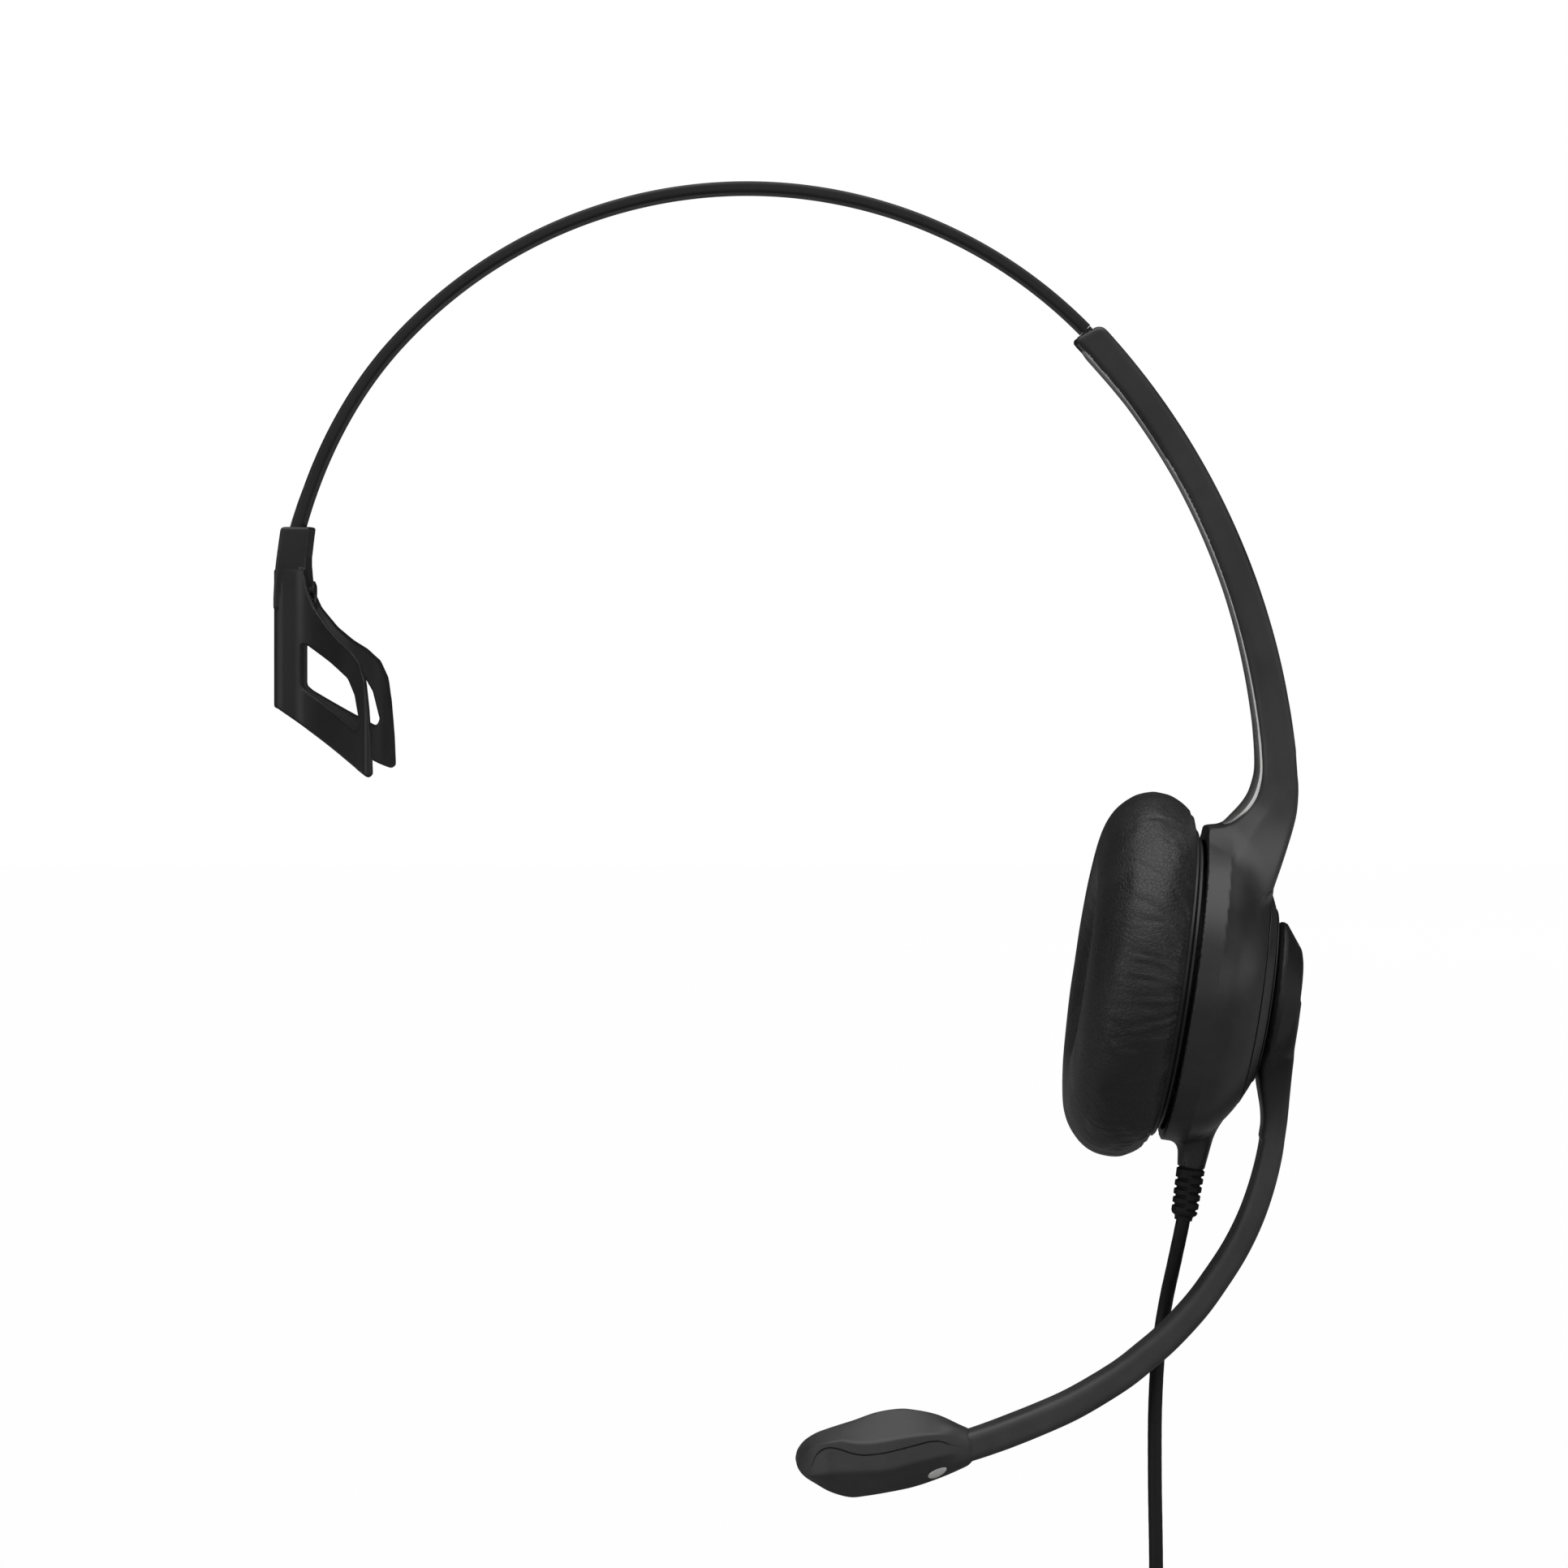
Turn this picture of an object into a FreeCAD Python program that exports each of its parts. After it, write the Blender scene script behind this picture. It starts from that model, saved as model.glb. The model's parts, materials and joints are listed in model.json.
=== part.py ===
import FreeCAD, Part
import Sketcher
import math
import os
import re

# Monaural office headset, millimetres.
# World frame: origin under the apex of the headband (where it rests on the
# crown of the head), +Z up, +X towards the ear-cup side, -Y to the front.
# Centres used below:
#   band centre  - the sprung headband is an arc about it
#   slide centre - the cup arm and the rail it slides on are arcs about it
#   cup centre   - middle of the ear-cup rim; the cup axis leans by cup_tilt,
#                  local x runs outwards along the cup axis, local z runs up.
# Arc angles are in degrees, from +X towards +Z.

Vector = FreeCAD.Vector
Rotation = FreeCAD.Rotation
Placement = FreeCAD.Placement
X_AXIS, Y_AXIS, Z_AXIS = Vector(1, 0, 0), Vector(0, 1, 0), Vector(0, 0, 1)

doc = FreeCAD.newDocument("office_headset")
dims = doc.addObject("Spreadsheet::Sheet", "dims")

# alias, value, note
CELLS = [
    # headband
    ("band_cz", -82.4, "band centre, height"),
    ("band_rin", 82.4, "headband inner radius"),
    ("band_thick", 2.0, "headband thickness"),
    ("band_wide", 9.0, "headband width"),
    ("band_end_cup", 44.5, "headband end angle, cup side"),
    ("band_end_temple", 167.2, "headband end angle, temple side"),
    ("spring_thick", 0.6, "spring steel thickness"),
    ("spring_wide", 6.0, "spring steel width"),
    ("gap", 0.05, "general assembly clearance per side"),
    # slider
    ("slide_cx", -32.5, "slide centre x"),
    ("slide_cz", -110.1, "slide centre z"),
    ("rail_rmid", 125.9, "rail middle radius"),
    ("rail_thick", 2.0, "rail thickness"),
    ("rail_top", 43.1, "rail angle at the band"),
    ("rail_end", 22.5, "rail angle at its free end"),
    ("slide_play", 0.12, "rail to channel clearance per side"),
    # arm
    ("arm_rin", 122.8, "arm inner radius"),
    ("arm_rout", 128.8, "arm outer radius"),
    ("arm_top", 43.0, "arm mouth angle"),
    ("arm_wide", 11.0, "arm width at the mouth"),
    ("cover_thick", 1.3, "arm inner cover thickness"),
    ("trim_thick", 0.54, "polished trim strip thickness"),
    # cup
    ("cup_x", 75.64, "cup centre x"),
    ("cup_z", -138.75, "cup centre z"),
    ("cup_tilt", 8.5, "cup axis lean, degrees"),
    ("rim_u", 1.5, "rim plane along the cup axis"),
    ("rim_r", 27.6, "rim outer radius"),
    ("wall", 1.9, "cup wall"),
    ("gimbal_u", 4.3, "gimbal centre along the cup axis"),
    ("gimbal_rin", 20.5, "gimbal ring inner radius"),
    ("gimbal_rout", 23.0, "gimbal ring outer radius"),
    ("gimbal_half", 1.2, "gimbal ring half thickness"),
    ("gpin_r", 1.0, "gimbal pin radius"),
    ("baffle_r", 25.4, "speaker baffle radius"),
    ("can_r", 18.4, "baffle can radius"),
    ("cushion_r", 32.4, "ear cushion largest radius"),
    ("cushion_front", -17.3, "ear cushion plane on the head side"),
    ("cushion_back", -1.35, "ear cushion plane on the cup side"),
    ("board_r", 22.5, "limiter board radius"),
    # boom pivot
    ("axle_r", 2.5, "boom pivot axle radius"),
    ("run", 0.05, "running clearance per side"),
    ("head_u0", 16.05, "boom head inner face"),
    ("head_u1", 21.1, "boom head outer face"),
    ("head_r", 12.7, "boom head radius"),
    ("boom_wide", 8.0, "boom width"),
    ("boom_thick", 4.4, "boom thickness"),
    # microphone
    ("mic_x", 23.2, "microphone centre x"),
    ("mic_z", -221.6, "microphone centre z"),
    ("mic_lean", -4.5, "microphone long axis lean, degrees"),
    ("mic_twist", 30.0, "microphone twist about its long axis, degrees"),
    # cable
    ("relief_u", 7.6, "strain relief axis along the cup axis"),
    ("cable_r", 1.25, "cable radius"),
    ("plug_z", -267.0, "height of the plug boot top"),
    ("plug_x", 72.4, "plug axis x"),
    ("plug_y", 6.0, "plug axis y"),
    ("plug_r", 1.75, "plug contact radius"),
]
for row, (alias, number, note) in enumerate(CELLS, start=1):
    dims.set("A%d" % row, note)
    dims.set("B%d" % row, str(number))
    dims.setAlias("B%d" % row, alias)
doc.recompute()
ALIASES = sorted((cell[0] for cell in CELLS), key=len, reverse=True)
ALIAS_WORD = re.compile(r"\b(" + "|".join(ALIASES) + r")\b")


def formula(text):
    """Sheet expression: bare aliases become references to the sheet."""
    return ALIAS_WORD.sub(r"dims.\1", text)


def value(size):
    """Value of a number or of a sheet expression."""
    if isinstance(size, (int, float)):
        return float(size)
    result = dims.evalExpression(formula(size))
    return float(getattr(result, "Value", result))


def bind(obj, prop, size):
    """Set a property to a number, or bind it to a sheet expression."""
    if isinstance(size, str):
        obj.setExpression(prop, formula(size))
    else:
        setattr(obj, prop, size)


# ---------------------------------------------------------------- frames
def shift(x=0, y=0, z=0, turn=Rotation()):
    return Placement(Vector(value(x), value(y), value(z)), turn)


WORLD = Placement()
SLIDE = shift("slide_cx", 0, "slide_cz")
CUP = shift("cup_x", 0, "cup_z", Rotation(Y_AXIS, value("cup_tilt")))
MIC = shift("mic_x", 0, "mic_z",
            Rotation(Y_AXIS, value("mic_lean")) * Rotation(X_AXIS, value("mic_twist")))
PLUG = shift("plug_x", "plug_y", "plug_z")
ARC_CENTRES = {"slide": ("slide_cx", "slide_cz"), "band": (0, "band_cz")}


def arc_frame(centre, angle):
    """Local x points from the centre at the angle, local z along -Y."""
    cx, cz = ARC_CENTRES[centre]
    return shift(cx, 0, cz, Rotation(X_AXIS, 90) * Rotation(Z_AXIS, value(angle)))


def place(obj, frame, offset=None):
    """Put an object in a frame; one set straight in the cup frame is bound to the sheet."""
    obj.Placement = frame if offset is None else frame.multiply(offset)
    if frame is CUP and offset is None:
        obj.setExpression("Placement.Base.x", formula("cup_x"))
        obj.setExpression("Placement.Base.z", formula("cup_z"))
        obj.setExpression("Placement.Rotation.Angle", formula("cup_tilt"))


# ---------------------------------------------------------------- features
def new_body(label):
    body = doc.addObject("PartDesign::Body", "B_" + label)
    body.Label = label
    return body


def new_sketch(body, role, offset=None):
    """Sketch on the body's origin plane, or parallel to it at an offset."""
    sketch = body.newObject("Sketcher::SketchObject", "S_" + body.Label)
    plane = [item for item in body.Origin.OriginFeatures if item.Role == role][0]
    sketch.AttachmentSupport = [(plane, "")]
    sketch.MapMode = "FlatFace"
    if offset is not None:
        sketch.AttachmentOffset = shift(z=offset)
    return sketch


def polygon(sketch, points):
    """Closed polygon with every corner dimensioned from the sketch origin."""
    corners = [(value(x), value(y)) for x, y in points]
    count = len(corners)
    base = sketch.GeometryCount
    for i in range(count):
        start, end = corners[i], corners[(i + 1) % count]
        sketch.addGeometry(Part.LineSegment(Vector(*start, 0), Vector(*end, 0)), False)
    for i in range(count):
        sketch.addConstraint(
            Sketcher.Constraint("Coincident", base + i, 2, base + (i + 1) % count, 1))
    for i, point in enumerate(points):
        for kind, size, distance in zip(("DistanceX", "DistanceY"), point, corners[i]):
            index = sketch.addConstraint(
                Sketcher.Constraint(kind, -1, 1, base + i, 1, distance))
            if isinstance(size, str):
                sketch.setExpression("Constraints[%d]" % index, formula(size))


def turned(label, profile, frame=CUP, offset=None, upright=False):
    """Profile turned through 360 degrees.

    Columns are (along local x, radius), or (radius, along local z) if upright.
    """
    body = new_body(label)
    sketch = new_sketch(body, "XZ_Plane" if upright else "XY_Plane")
    polygon(sketch, profile)
    turn = body.newObject("PartDesign::Revolution", "Turn_" + label)
    turn.Profile = sketch
    turn.ReferenceAxis = (sketch, ["V_Axis" if upright else "H_Axis"])
    turn.Angle = 360
    place(body, frame, offset)
    return body


def ring_profile(u0, u1, inner, outer):
    """Rectangular profile of a ring or disc from u0 to u1 along its axis."""
    return [(u0, inner), (u0, outer), (u1, outer), (u1, inner)]


def sector(label, r0, r1, wide, a0, a1, centre="slide", bevel=None):
    """Curved bar: rectangle r0..r1 by wide, from angle a0 to a1. Sizes are expressions."""
    body = new_body(label)
    sketch = new_sketch(body, "XZ_Plane")
    low, high = "-(%s)/2" % wide, "(%s)/2" % wide
    if bevel:
        r0_in, r1_in = "(%s)+%s" % (r0, bevel), "(%s)-%s" % (r1, bevel)
        low_in, high_in = "(%s)+%s" % (low, bevel), "(%s)-%s" % (high, bevel)
        polygon(sketch, [(r0_in, low), (r1_in, low), (r1, low_in), (r1, high_in),
                         (r1_in, high), (r0_in, high), (r0, high_in), (r0, low_in)])
    else:
        polygon(sketch, [(r0, low), (r1, low), (r1, high), (r0, high)])
    turn = body.newObject("PartDesign::Revolution", "Turn_" + label)
    turn.Profile = sketch
    turn.ReferenceAxis = (sketch, ["V_Axis"])
    turn.Midplane = True
    bind(turn, "Angle", "(%s)-(%s)" % (a1, a0))
    body.Placement = arc_frame(centre, "((%s)+(%s))/2" % (a0, a1))
    if centre == "slide":
        body.setExpression("Placement.Base.x", formula("slide_cx"))
    body.setExpression("Placement.Base.z", formula(ARC_CENTRES[centre][1]))
    return body


def slab(label, outline, depth, frame=WORLD, offset=None, role="XZ_Plane", window=None,
         side="Symmetric"):
    """Outline extruded; symmetric about its own plane unless side says so."""
    body = new_body(label)
    sketch = new_sketch(body, role)
    polygon(sketch, outline)
    if window:
        polygon(sketch, window)
    pad = body.newObject("PartDesign::Pad", "Pad_" + label)
    pad.Profile = sketch
    bind(pad, "Length", depth)
    pad.SideType = side
    place(body, frame, offset)
    return body


ROD_TURNS = {"x": Rotation(Y_AXIS, 90), "y": Rotation(X_AXIS, -90), "-y": Rotation(X_AXIS, 90),
             "z": Rotation(), "-z": Rotation(X_AXIS, 180)}


def rod(label, radius, length, frame, start, along):
    """Solid rod starting at a local point and running along a local axis."""
    cylinder = doc.addObject("Part::Cylinder", "C_" + label)
    cylinder.Label = label
    bind(cylinder, "Radius", radius)
    bind(cylinder, "Height", length)
    place(cylinder, frame, shift(*start, turn=ROD_TURNS[along]))
    return cylinder


def block(label, size, corner, frame):
    """Box with its lowest corner at a local point."""
    box = doc.addObject("Part::Box", "K_" + label)
    box.Label = label
    box.Length, box.Width, box.Height = size
    place(box, frame, shift(*corner))
    return box


def loft(label, stations, frame):
    """Loft through ellipses; stations are (local x, half height z, half width y)."""
    body = new_body(label)
    sketches = []
    for x, half_height, half_width in stations:
        sketch = new_sketch(body, "YZ_Plane", x)
        sketch.addGeometry(Part.Ellipse(Vector(half_width, 0, 0), Vector(0, half_height, 0),
                                        Vector(0, 0, 0)), False)
        sketch.addConstraint(Sketcher.Constraint("Block", 0))
        sketches.append(sketch)
    feature = body.newObject("PartDesign::AdditiveLoft", "Loft_" + label)
    feature.Profile = sketches[0]
    feature.Sections = sketches[1:]
    place(body, frame)
    return body


def fuse(label, shapes):
    fusion = doc.addObject("Part::MultiFuse", "F_" + label)
    fusion.Label = label
    fusion.Shapes = shapes
    return fusion


def cut(label, base, tools):
    tool = tools[0] if len(tools) == 1 else fuse(label + "_tools", tools)
    result = doc.addObject("Part::Cut", "D_" + label)
    result.Label = label
    result.Base = base
    result.Tool = tool
    return result


def common(label, base, tool):
    result = doc.addObject("Part::Common", "I_" + label)
    result.Label = label
    result.Base = base
    result.Tool = tool
    return result


NODES = {}


def node(obj):
    """Register a finished piece; its label names its file."""
    NODES[obj.Label] = obj


# ---------------------------------------------------------------- outlines
def slide_arc(radius, a0, a1, steps):
    """World (x, z) points on an arc about the slide centre."""
    radius, a0, a1 = value(radius), value(a0), value(a1)
    angles = [math.radians(a0 + (a1 - a0) * i / steps) for i in range(steps + 1)]
    return [(value("slide_cx") + radius * math.cos(angle),
             value("slide_cz") + radius * math.sin(angle)) for angle in angles]


def strip(centreline, half):
    """Closed outline of a strip of the given half thickness along a centreline."""
    last = len(centreline) - 1
    left, right = [], []
    for i, (x, y) in enumerate(centreline):
        before = centreline[max(i - 1, 0)]
        after = centreline[min(i + 1, last)]
        dx, dy = after[0] - before[0], after[1] - before[1]
        length = math.hypot(dx, dy)
        nx, ny = -dy / length, dx / length
        left.append((x + nx * half, y + ny * half))
        right.append((x - nx * half, y - ny * half))
    return left + right[::-1]


def mirrored(half_widths):
    """Closed (y, z) outline from (z, half width) stations."""
    return [(y, z) for z, y in half_widths] + [(-y, z) for z, y in reversed(half_widths)]


# ================================================================ HEADBAND
EDGE_BEVEL = "0.35"     # on the long edges of the sleeve and the rail

# Plastic sleeve around a strip of spring steel.
sleeve = sector("sleeve_bar", "band_rin", "band_rin+band_thick", "band_wide",
                "band_end_cup", "band_end_temple", "band", EDGE_BEVEL)
core = sector("sleeve_core", "band_rin+band_thick/2-spring_thick/2-gap",
              "band_rin+band_thick/2+spring_thick/2+gap", "spring_wide+2*gap",
              "band_end_cup-1", "band_end_temple+1", "band")
node(cut("headband_sleeve", sleeve, [core]))
# The spring reaches 3 degrees beyond the sleeve at the cup end.
node(sector("headband_spring", "band_rin+band_thick/2-spring_thick/2",
            "band_rin+band_thick/2+spring_thick/2", "spring_wide",
            "band_end_cup-3.0", "band_end_temple-0.2", "band"))

# Moulded rail on the band's cup end: the cup arm slides along it. Its free
# end carries a stop tooth on the inner side, its outer face a row of notches.
NOTCH_COUNT = 8
NOTCH_RADIUS = 0.45
NOTCH_START = 2.6       # degrees below the rail's top end
NOTCH_PITCH = 1.6       # degrees
rail = sector("rail_bar", "rail_rmid-rail_thick/2", "rail_rmid+rail_thick/2", "band_wide",
              "rail_end", "rail_top", bevel=EDGE_BEVEL)
tooth = sector("rail_tooth", "rail_rmid-rail_thick/2-0.7", "rail_rmid", "3.0",
               "rail_end", "rail_end+1.0")
rail_slot = sector("rail_slot", "rail_rmid-0.62", "rail_rmid+0.62", "spring_wide+0.4",
                   "rail_top-2.4", "rail_top+1")
notch_axis_r = value("rail_rmid+rail_thick/2+0.12")
notches = []
for i in range(NOTCH_COUNT):
    angle = math.radians(value("rail_top") - NOTCH_START - NOTCH_PITCH * i)
    start = (notch_axis_r * math.cos(angle), "-band_wide/2-1", notch_axis_r * math.sin(angle))
    notches.append(rod("rail_notch_%d" % i, NOTCH_RADIUS, "band_wide+2", SLIDE, start, "y"))
node(cut("slider_rail", fuse("rail_blank", [rail, tooth]), [rail_slot] + notches))

# ================================================================ TEMPLE END
RIVET_Z = -70.0
RIVET_HOLE_RADIUS = 1.05

# Socket moulded onto the temple end of the band, with a tongue below it: (x, z).
SOCKET_OUTLINE = [(-82.1, -58.7), (-82.85, -64.0), (-83.1, -67.35),
                  (-76.4, -67.35), (-76.4, -64.0), (-75.9, -58.7)]
TONGUE_OUTLINE = [(-81.3, -66.0), (-81.3, -72.5), (-77.6, -72.5), (-76.4, -71.5), (-76.4, -66.0)]
socket = fuse("socket_body", [slab("socket_block", SOCKET_OUTLINE, 11.4),
                              slab("socket_tongue", TONGUE_OUTLINE, 7.4)])
socket_slot = sector("socket_slot", "band_rin-gap", "band_rin+band_thick+gap",
                     "band_wide+2*gap", "band_end_temple-6", "band_end_temple+0.25", "band")
socket_rivet_hole = rod("socket_rivet_hole", RIVET_HOLE_RADIUS, 9.0, WORLD,
                        (-84.0, 0, RIVET_Z), "x")
node(cut("temple_socket", socket, [socket_slot, socket_rivet_hole]))

# Temple rest: a springy plate, horseshoe-shaped seen from above, with a
# window in each wing. Its middle is a short channel that wraps the socket's
# tongue and is riveted to it; the two wings spread from the channel's sides.
REST_HALF_THICK = 0.85
# Centreline of the +Y half seen from above: (x, y).
REST_PLAN_HALF = [(-82.35, 4.1), (-81.5, 5.0), (-78.4, 5.0), (-76.4, 7.2),
                  (-72.9, 12.7), (-68.0, 19.9), (-65.7, 23.9), (-64.3, 27.4)]
# Side view: (x, z).
REST_SIDE = [(-84.5, -67.5), (-77.5, -67.5), (-76.2, -69.3), (-74.9, -72.7), (-72.1, -76.1),
             (-67.4, -79.5), (-65.0, -81.5), (-63.7, -85.0), (-63.3, -90.0), (-63.3, -101.8),
             (-66.0, -101.5), (-69.6, -99.5), (-76.5, -94.5), (-82.5, -90.3), (-84.5, -89.6)]
REST_WINDOW = [(-77.9, -79.5), (-76.9, -79.7), (-72.6, -82.9), (-69.3, -85.5), (-68.0, -88.0),
               (-66.9, -92.4), (-67.4, -93.3), (-77.4, -87.7), (-77.9, -87.2)]
rest_centreline = [(x, -y) for x, y in reversed(REST_PLAN_HALF)] + REST_PLAN_HALF
rest_plan = slab("rest_plan", strip(rest_centreline, REST_HALF_THICK), 45.0,
                 offset=shift(z=-85.0), role="XY_Plane")
rest_side = slab("rest_side", REST_SIDE, 60.0, window=REST_WINDOW)
rest_hole = rod("rest_rivet_hole", RIVET_HOLE_RADIUS, 4.0, WORLD, (-84.5, 0, RIVET_Z), "x")
node(cut("temple_rest", common("rest_plate", rest_plan, rest_side), [rest_hole]))

RIVET_PROFILE = [(-82.9, 0), (-82.9, 1.0), (-76.35, 1.0), (-76.35, 1.9), (-76.05, 1.9),
                 (-75.75, 1.2), (-75.75, 0)]
node(turned("temple_rivet", RIVET_PROFILE, WORLD, shift(z=RIVET_Z)))

# ================================================================ CUP ARM
# Outer shell of arm and cup in one moulding: a curved arm that widens into
# the rim of a domed cup. Low end of the arm seen from the side: (x, z).
ARM_ARC_END = 5.0       # angle where the arm leaves its arc
ARM_LOW_OUTER = [(96.2, -101.5), (96.4, -104.5), (96.0, -108.8), (95.3, -111.5),
                 (94.3, -114.4), (93.2, -117.3), (92.0, -120.1), (91.0, -122.0)]
ARM_LOW_INNER = [(87.0, -124.0), (84.0, -118.0), (81.7, -113.4), (82.2, -111.3),
                 (84.4, -109.4), (86.8, -108.0), (89.0, -105.8), (89.75, -102.5)]
# Arm seen along X: (z, half width).
ARM_HALF_WIDTHS = [(-15.0, value("arm_wide/2")), (-60.0, 5.6), (-88.0, 6.3), (-97.0, 6.9),
                   (-103.0, 7.8), (-107.0, 9.2), (-110.0, 11.0), (-113.0, 13.0),
                   (-117.0, 14.5), (-126.0, 15.0)]
arm_side_view = slab("arm_side_view",
                     slide_arc("arm_rout", "arm_top", ARM_ARC_END, 14) + ARM_LOW_OUTER
                     + ARM_LOW_INNER + slide_arc("arm_rin", ARM_ARC_END, "arm_top", 14), 60.0)
arm_front_view = slab("arm_front_view", mirrored(ARM_HALF_WIDTHS), 110.0,
                      role="YZ_Plane", side="One side")
arm_blank = common("arm_blank", arm_side_view, arm_front_view)

# Cup bowl, (along the cup axis, radius).
BOWL_OUTSIDE = [("rim_u", 0), ("rim_u", "rim_r-0.4"), ("rim_u+0.4", "rim_r"), (5.0, "rim_r"),
                (8.2, 25.9), (11.1, 23.0), (13.5, 19.6), (14.7, 16.8), (15.2, 15.8), (15.2, 0)]
BOWL_INSIDE = [("rim_u-1", 0), ("rim_u-1", "rim_r-wall"), (5.0, "rim_r-wall"), (8.0, 23.7),
               (10.3, 20.9), (12.6, 16.6), (13.5, 14.0), (13.5, 0)]
bowl = turned("bowl_outside", BOWL_OUTSIDE)
boss = rod("relief_boss", 3.9, 8.0, CUP, ("relief_u", 0, -20.35), "-z")
cavity = turned("bowl_inside", BOWL_INSIDE)

# Channel for the rail, the recess for its cover and the detent pocket.
rail_channel = sector("rail_channel", "rail_rmid-rail_thick/2-slide_play",
                      "rail_rmid+rail_thick/2+slide_play", "band_wide+2*slide_play",
                      "rail_end-0.7", "arm_top+1")
cover_recess = sector("cover_recess", "arm_rin-1", "rail_rmid-rail_thick/2-slide_play+0.02",
                      "band_wide+2*slide_play", "10.0", "arm_top+1")
detent_pocket = sector("detent_pocket", "rail_rmid+0.9", "rail_rmid+rail_thick/2+0.95", "5.2",
                       "38.0", "42.0")

# Holes for the boom bush, the gimbal pins and the cable's strain relief.
bush_hole = rod("bush_hole", 3.65, 6.0, CUP, (12.0, 0, 0), "x")
pin_hole_up = rod("pin_hole_up", "gpin_r+0.02", 6.9, CUP, ("gimbal_u", 0, 20.4), "z")
pin_hole_dn = rod("pin_hole_dn", "gpin_r+0.02", 6.9, CUP, ("gimbal_u", 0, -20.4), "-z")
relief_bore = rod("relief_bore", 1.95, 20.0, CUP, ("relief_u", 0, -15.0), "-z")

# Bed for the low end of the trim strip; the table continues the arc, (x, z).
TRIM_BED_LOW = [(89.75, -102.5), (88.95, -105.75), (86.75, -107.95), (84.7, -109.1)]
TRIM_ARC_END = 6.0
trim_bed = slab("trim_bed",
                strip(slide_arc("arm_rin", 10.6, TRIM_ARC_END, 3) + TRIM_BED_LOW, 0.72), 13.0)

# Two screws hold the cover; each frame's local x runs outwards along a screw.
screw_frames = [arc_frame("slide", angle) for angle in (19.5, 13.5)]
screw_holes = [rod("screw_hole_%d" % i, 0.82, 6.0, frame, ("arm_rin-0.8", 0, 0), "x")
               for i, frame in enumerate(screw_frames)]
node(cut("arm_housing", fuse("arm_outer", [arm_blank, bowl, boss]),
         [cavity, rail_channel, cover_recess, detent_pocket, bush_hole, pin_hole_up,
          pin_hole_dn, relief_bore, trim_bed] + screw_holes))

# Inner cover closes the rail channel. The stop tooth runs in its slot.
cover_bar = sector("cover_bar", "rail_rmid-rail_thick/2-slide_play-cover_thick",
                   "rail_rmid-rail_thick/2-slide_play", "band_wide", "10.3", "arm_top-0.3")
cover_cuts = [sector("tooth_slot", "rail_rmid-rail_thick/2-0.95", "rail_rmid", "3.3",
                     "rail_end-0.2", "rail_end+14.4")]
for i, frame in enumerate(screw_frames):
    cover_cuts.append(rod("cover_through_%d" % i, 0.85, 4.0, frame, ("arm_rin-0.8", 0, 0), "x"))
    cover_cuts.append(rod("cover_sink_%d" % i, 1.75, 1.35, frame, ("arm_rin", 0, 0), "x"))
node(cut("arm_inner_cover", cover_bar, cover_cuts))

# Screws, (distance from the slide centre, radius).
SCREW_PROFILE = [(123.5, 0), (123.5, 1.6), (124.1, 1.6), (124.1, 0.8), (127.6, 0.8),
                 (127.9, 0.4), (127.9, 0)]
node(fuse("arm_screws", [turned("arm_screw_%d" % i, SCREW_PROFILE, frame)
                         for i, frame in enumerate(screw_frames)]))

# Polished strip along the arm's inner edge, widening down to the cup.
TRIM_LOW = [(89.95, -102.5), (89.1, -105.95), (86.85, -108.15), (85.0, -109.15)]    # (x, z)
TRIM_HALF_WIDTHS = [(-15.0, 1.0), (-50.0, 1.8), (-75.0, 2.6), (-90.0, 3.8),
                    (-104.0, 6.2), (-112.0, 6.2)]                                   # (z, half)
trim_line = slide_arc("arm_rin+0.25", "arm_top-1.5", TRIM_ARC_END, 14) + TRIM_LOW
trim_bar = slab("trim_bar", strip(trim_line, value("trim_thick/2")), 12.4)
trim_wedge = slab("trim_wedge", mirrored(TRIM_HALF_WIDTHS), 110.0,
                  role="YZ_Plane", side="One side")
node(common("arm_trim_strip", trim_bar, trim_wedge))

# Detent leaf in its pocket, outside the rail.
node(sector("detent_spring", "rail_rmid+rail_thick/2+0.25", "rail_rmid+rail_thick/2+0.65",
            "4.6", "38.3", "41.7"))

# ================================================================ CUP FITTINGS
# Turned profiles are (along the cup axis, radius) from here to the boom.
# Round cap plate on the outside of the cup, around the pivot bush.
node(turned("outer_cap", [(15.25, 3.9), (15.25, 15.3), (15.35, 15.4), (15.5, 15.4),
                          (15.6, 15.3), (15.6, 3.9)]))

# Flanged bush for the boom axle.
node(turned("pivot_bush", [(12.75, "axle_r+run"), (12.75, 4.8), (13.45, 4.8), (13.45, 3.6),
                           (15.6, 3.6), (15.6, "axle_r+run")]))

# Ribbed strain relief under the cup: (radius, height).
RIB_COUNT = 5
RIB_PITCH = 1.5
RIB_TOP = -33.2
relief_profile = [(1.3, -25.0), (1.9, -25.0), (1.9, -29.05), (2.75, -29.05), (2.75, -32.4),
                  (2.35, -32.7), (2.35, RIB_TOP)]
for i in range(RIB_COUNT):
    z = RIB_TOP - RIB_PITCH * i
    rib_radius = 2.62 - 0.08 * i
    groove_radius = rib_radius - 0.4
    relief_profile += [(rib_radius, z - 0.1), (rib_radius, z - 0.95),
                       (groove_radius, z - 1.1), (groove_radius, z - RIB_PITCH)]
relief_profile += [(2.15, -40.75), (2.25, -41.0), (2.25, -41.6), (1.3, -41.6)]
node(turned("strain_relief", relief_profile, CUP, shift("relief_u", 0, 0.65), upright=True))

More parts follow.
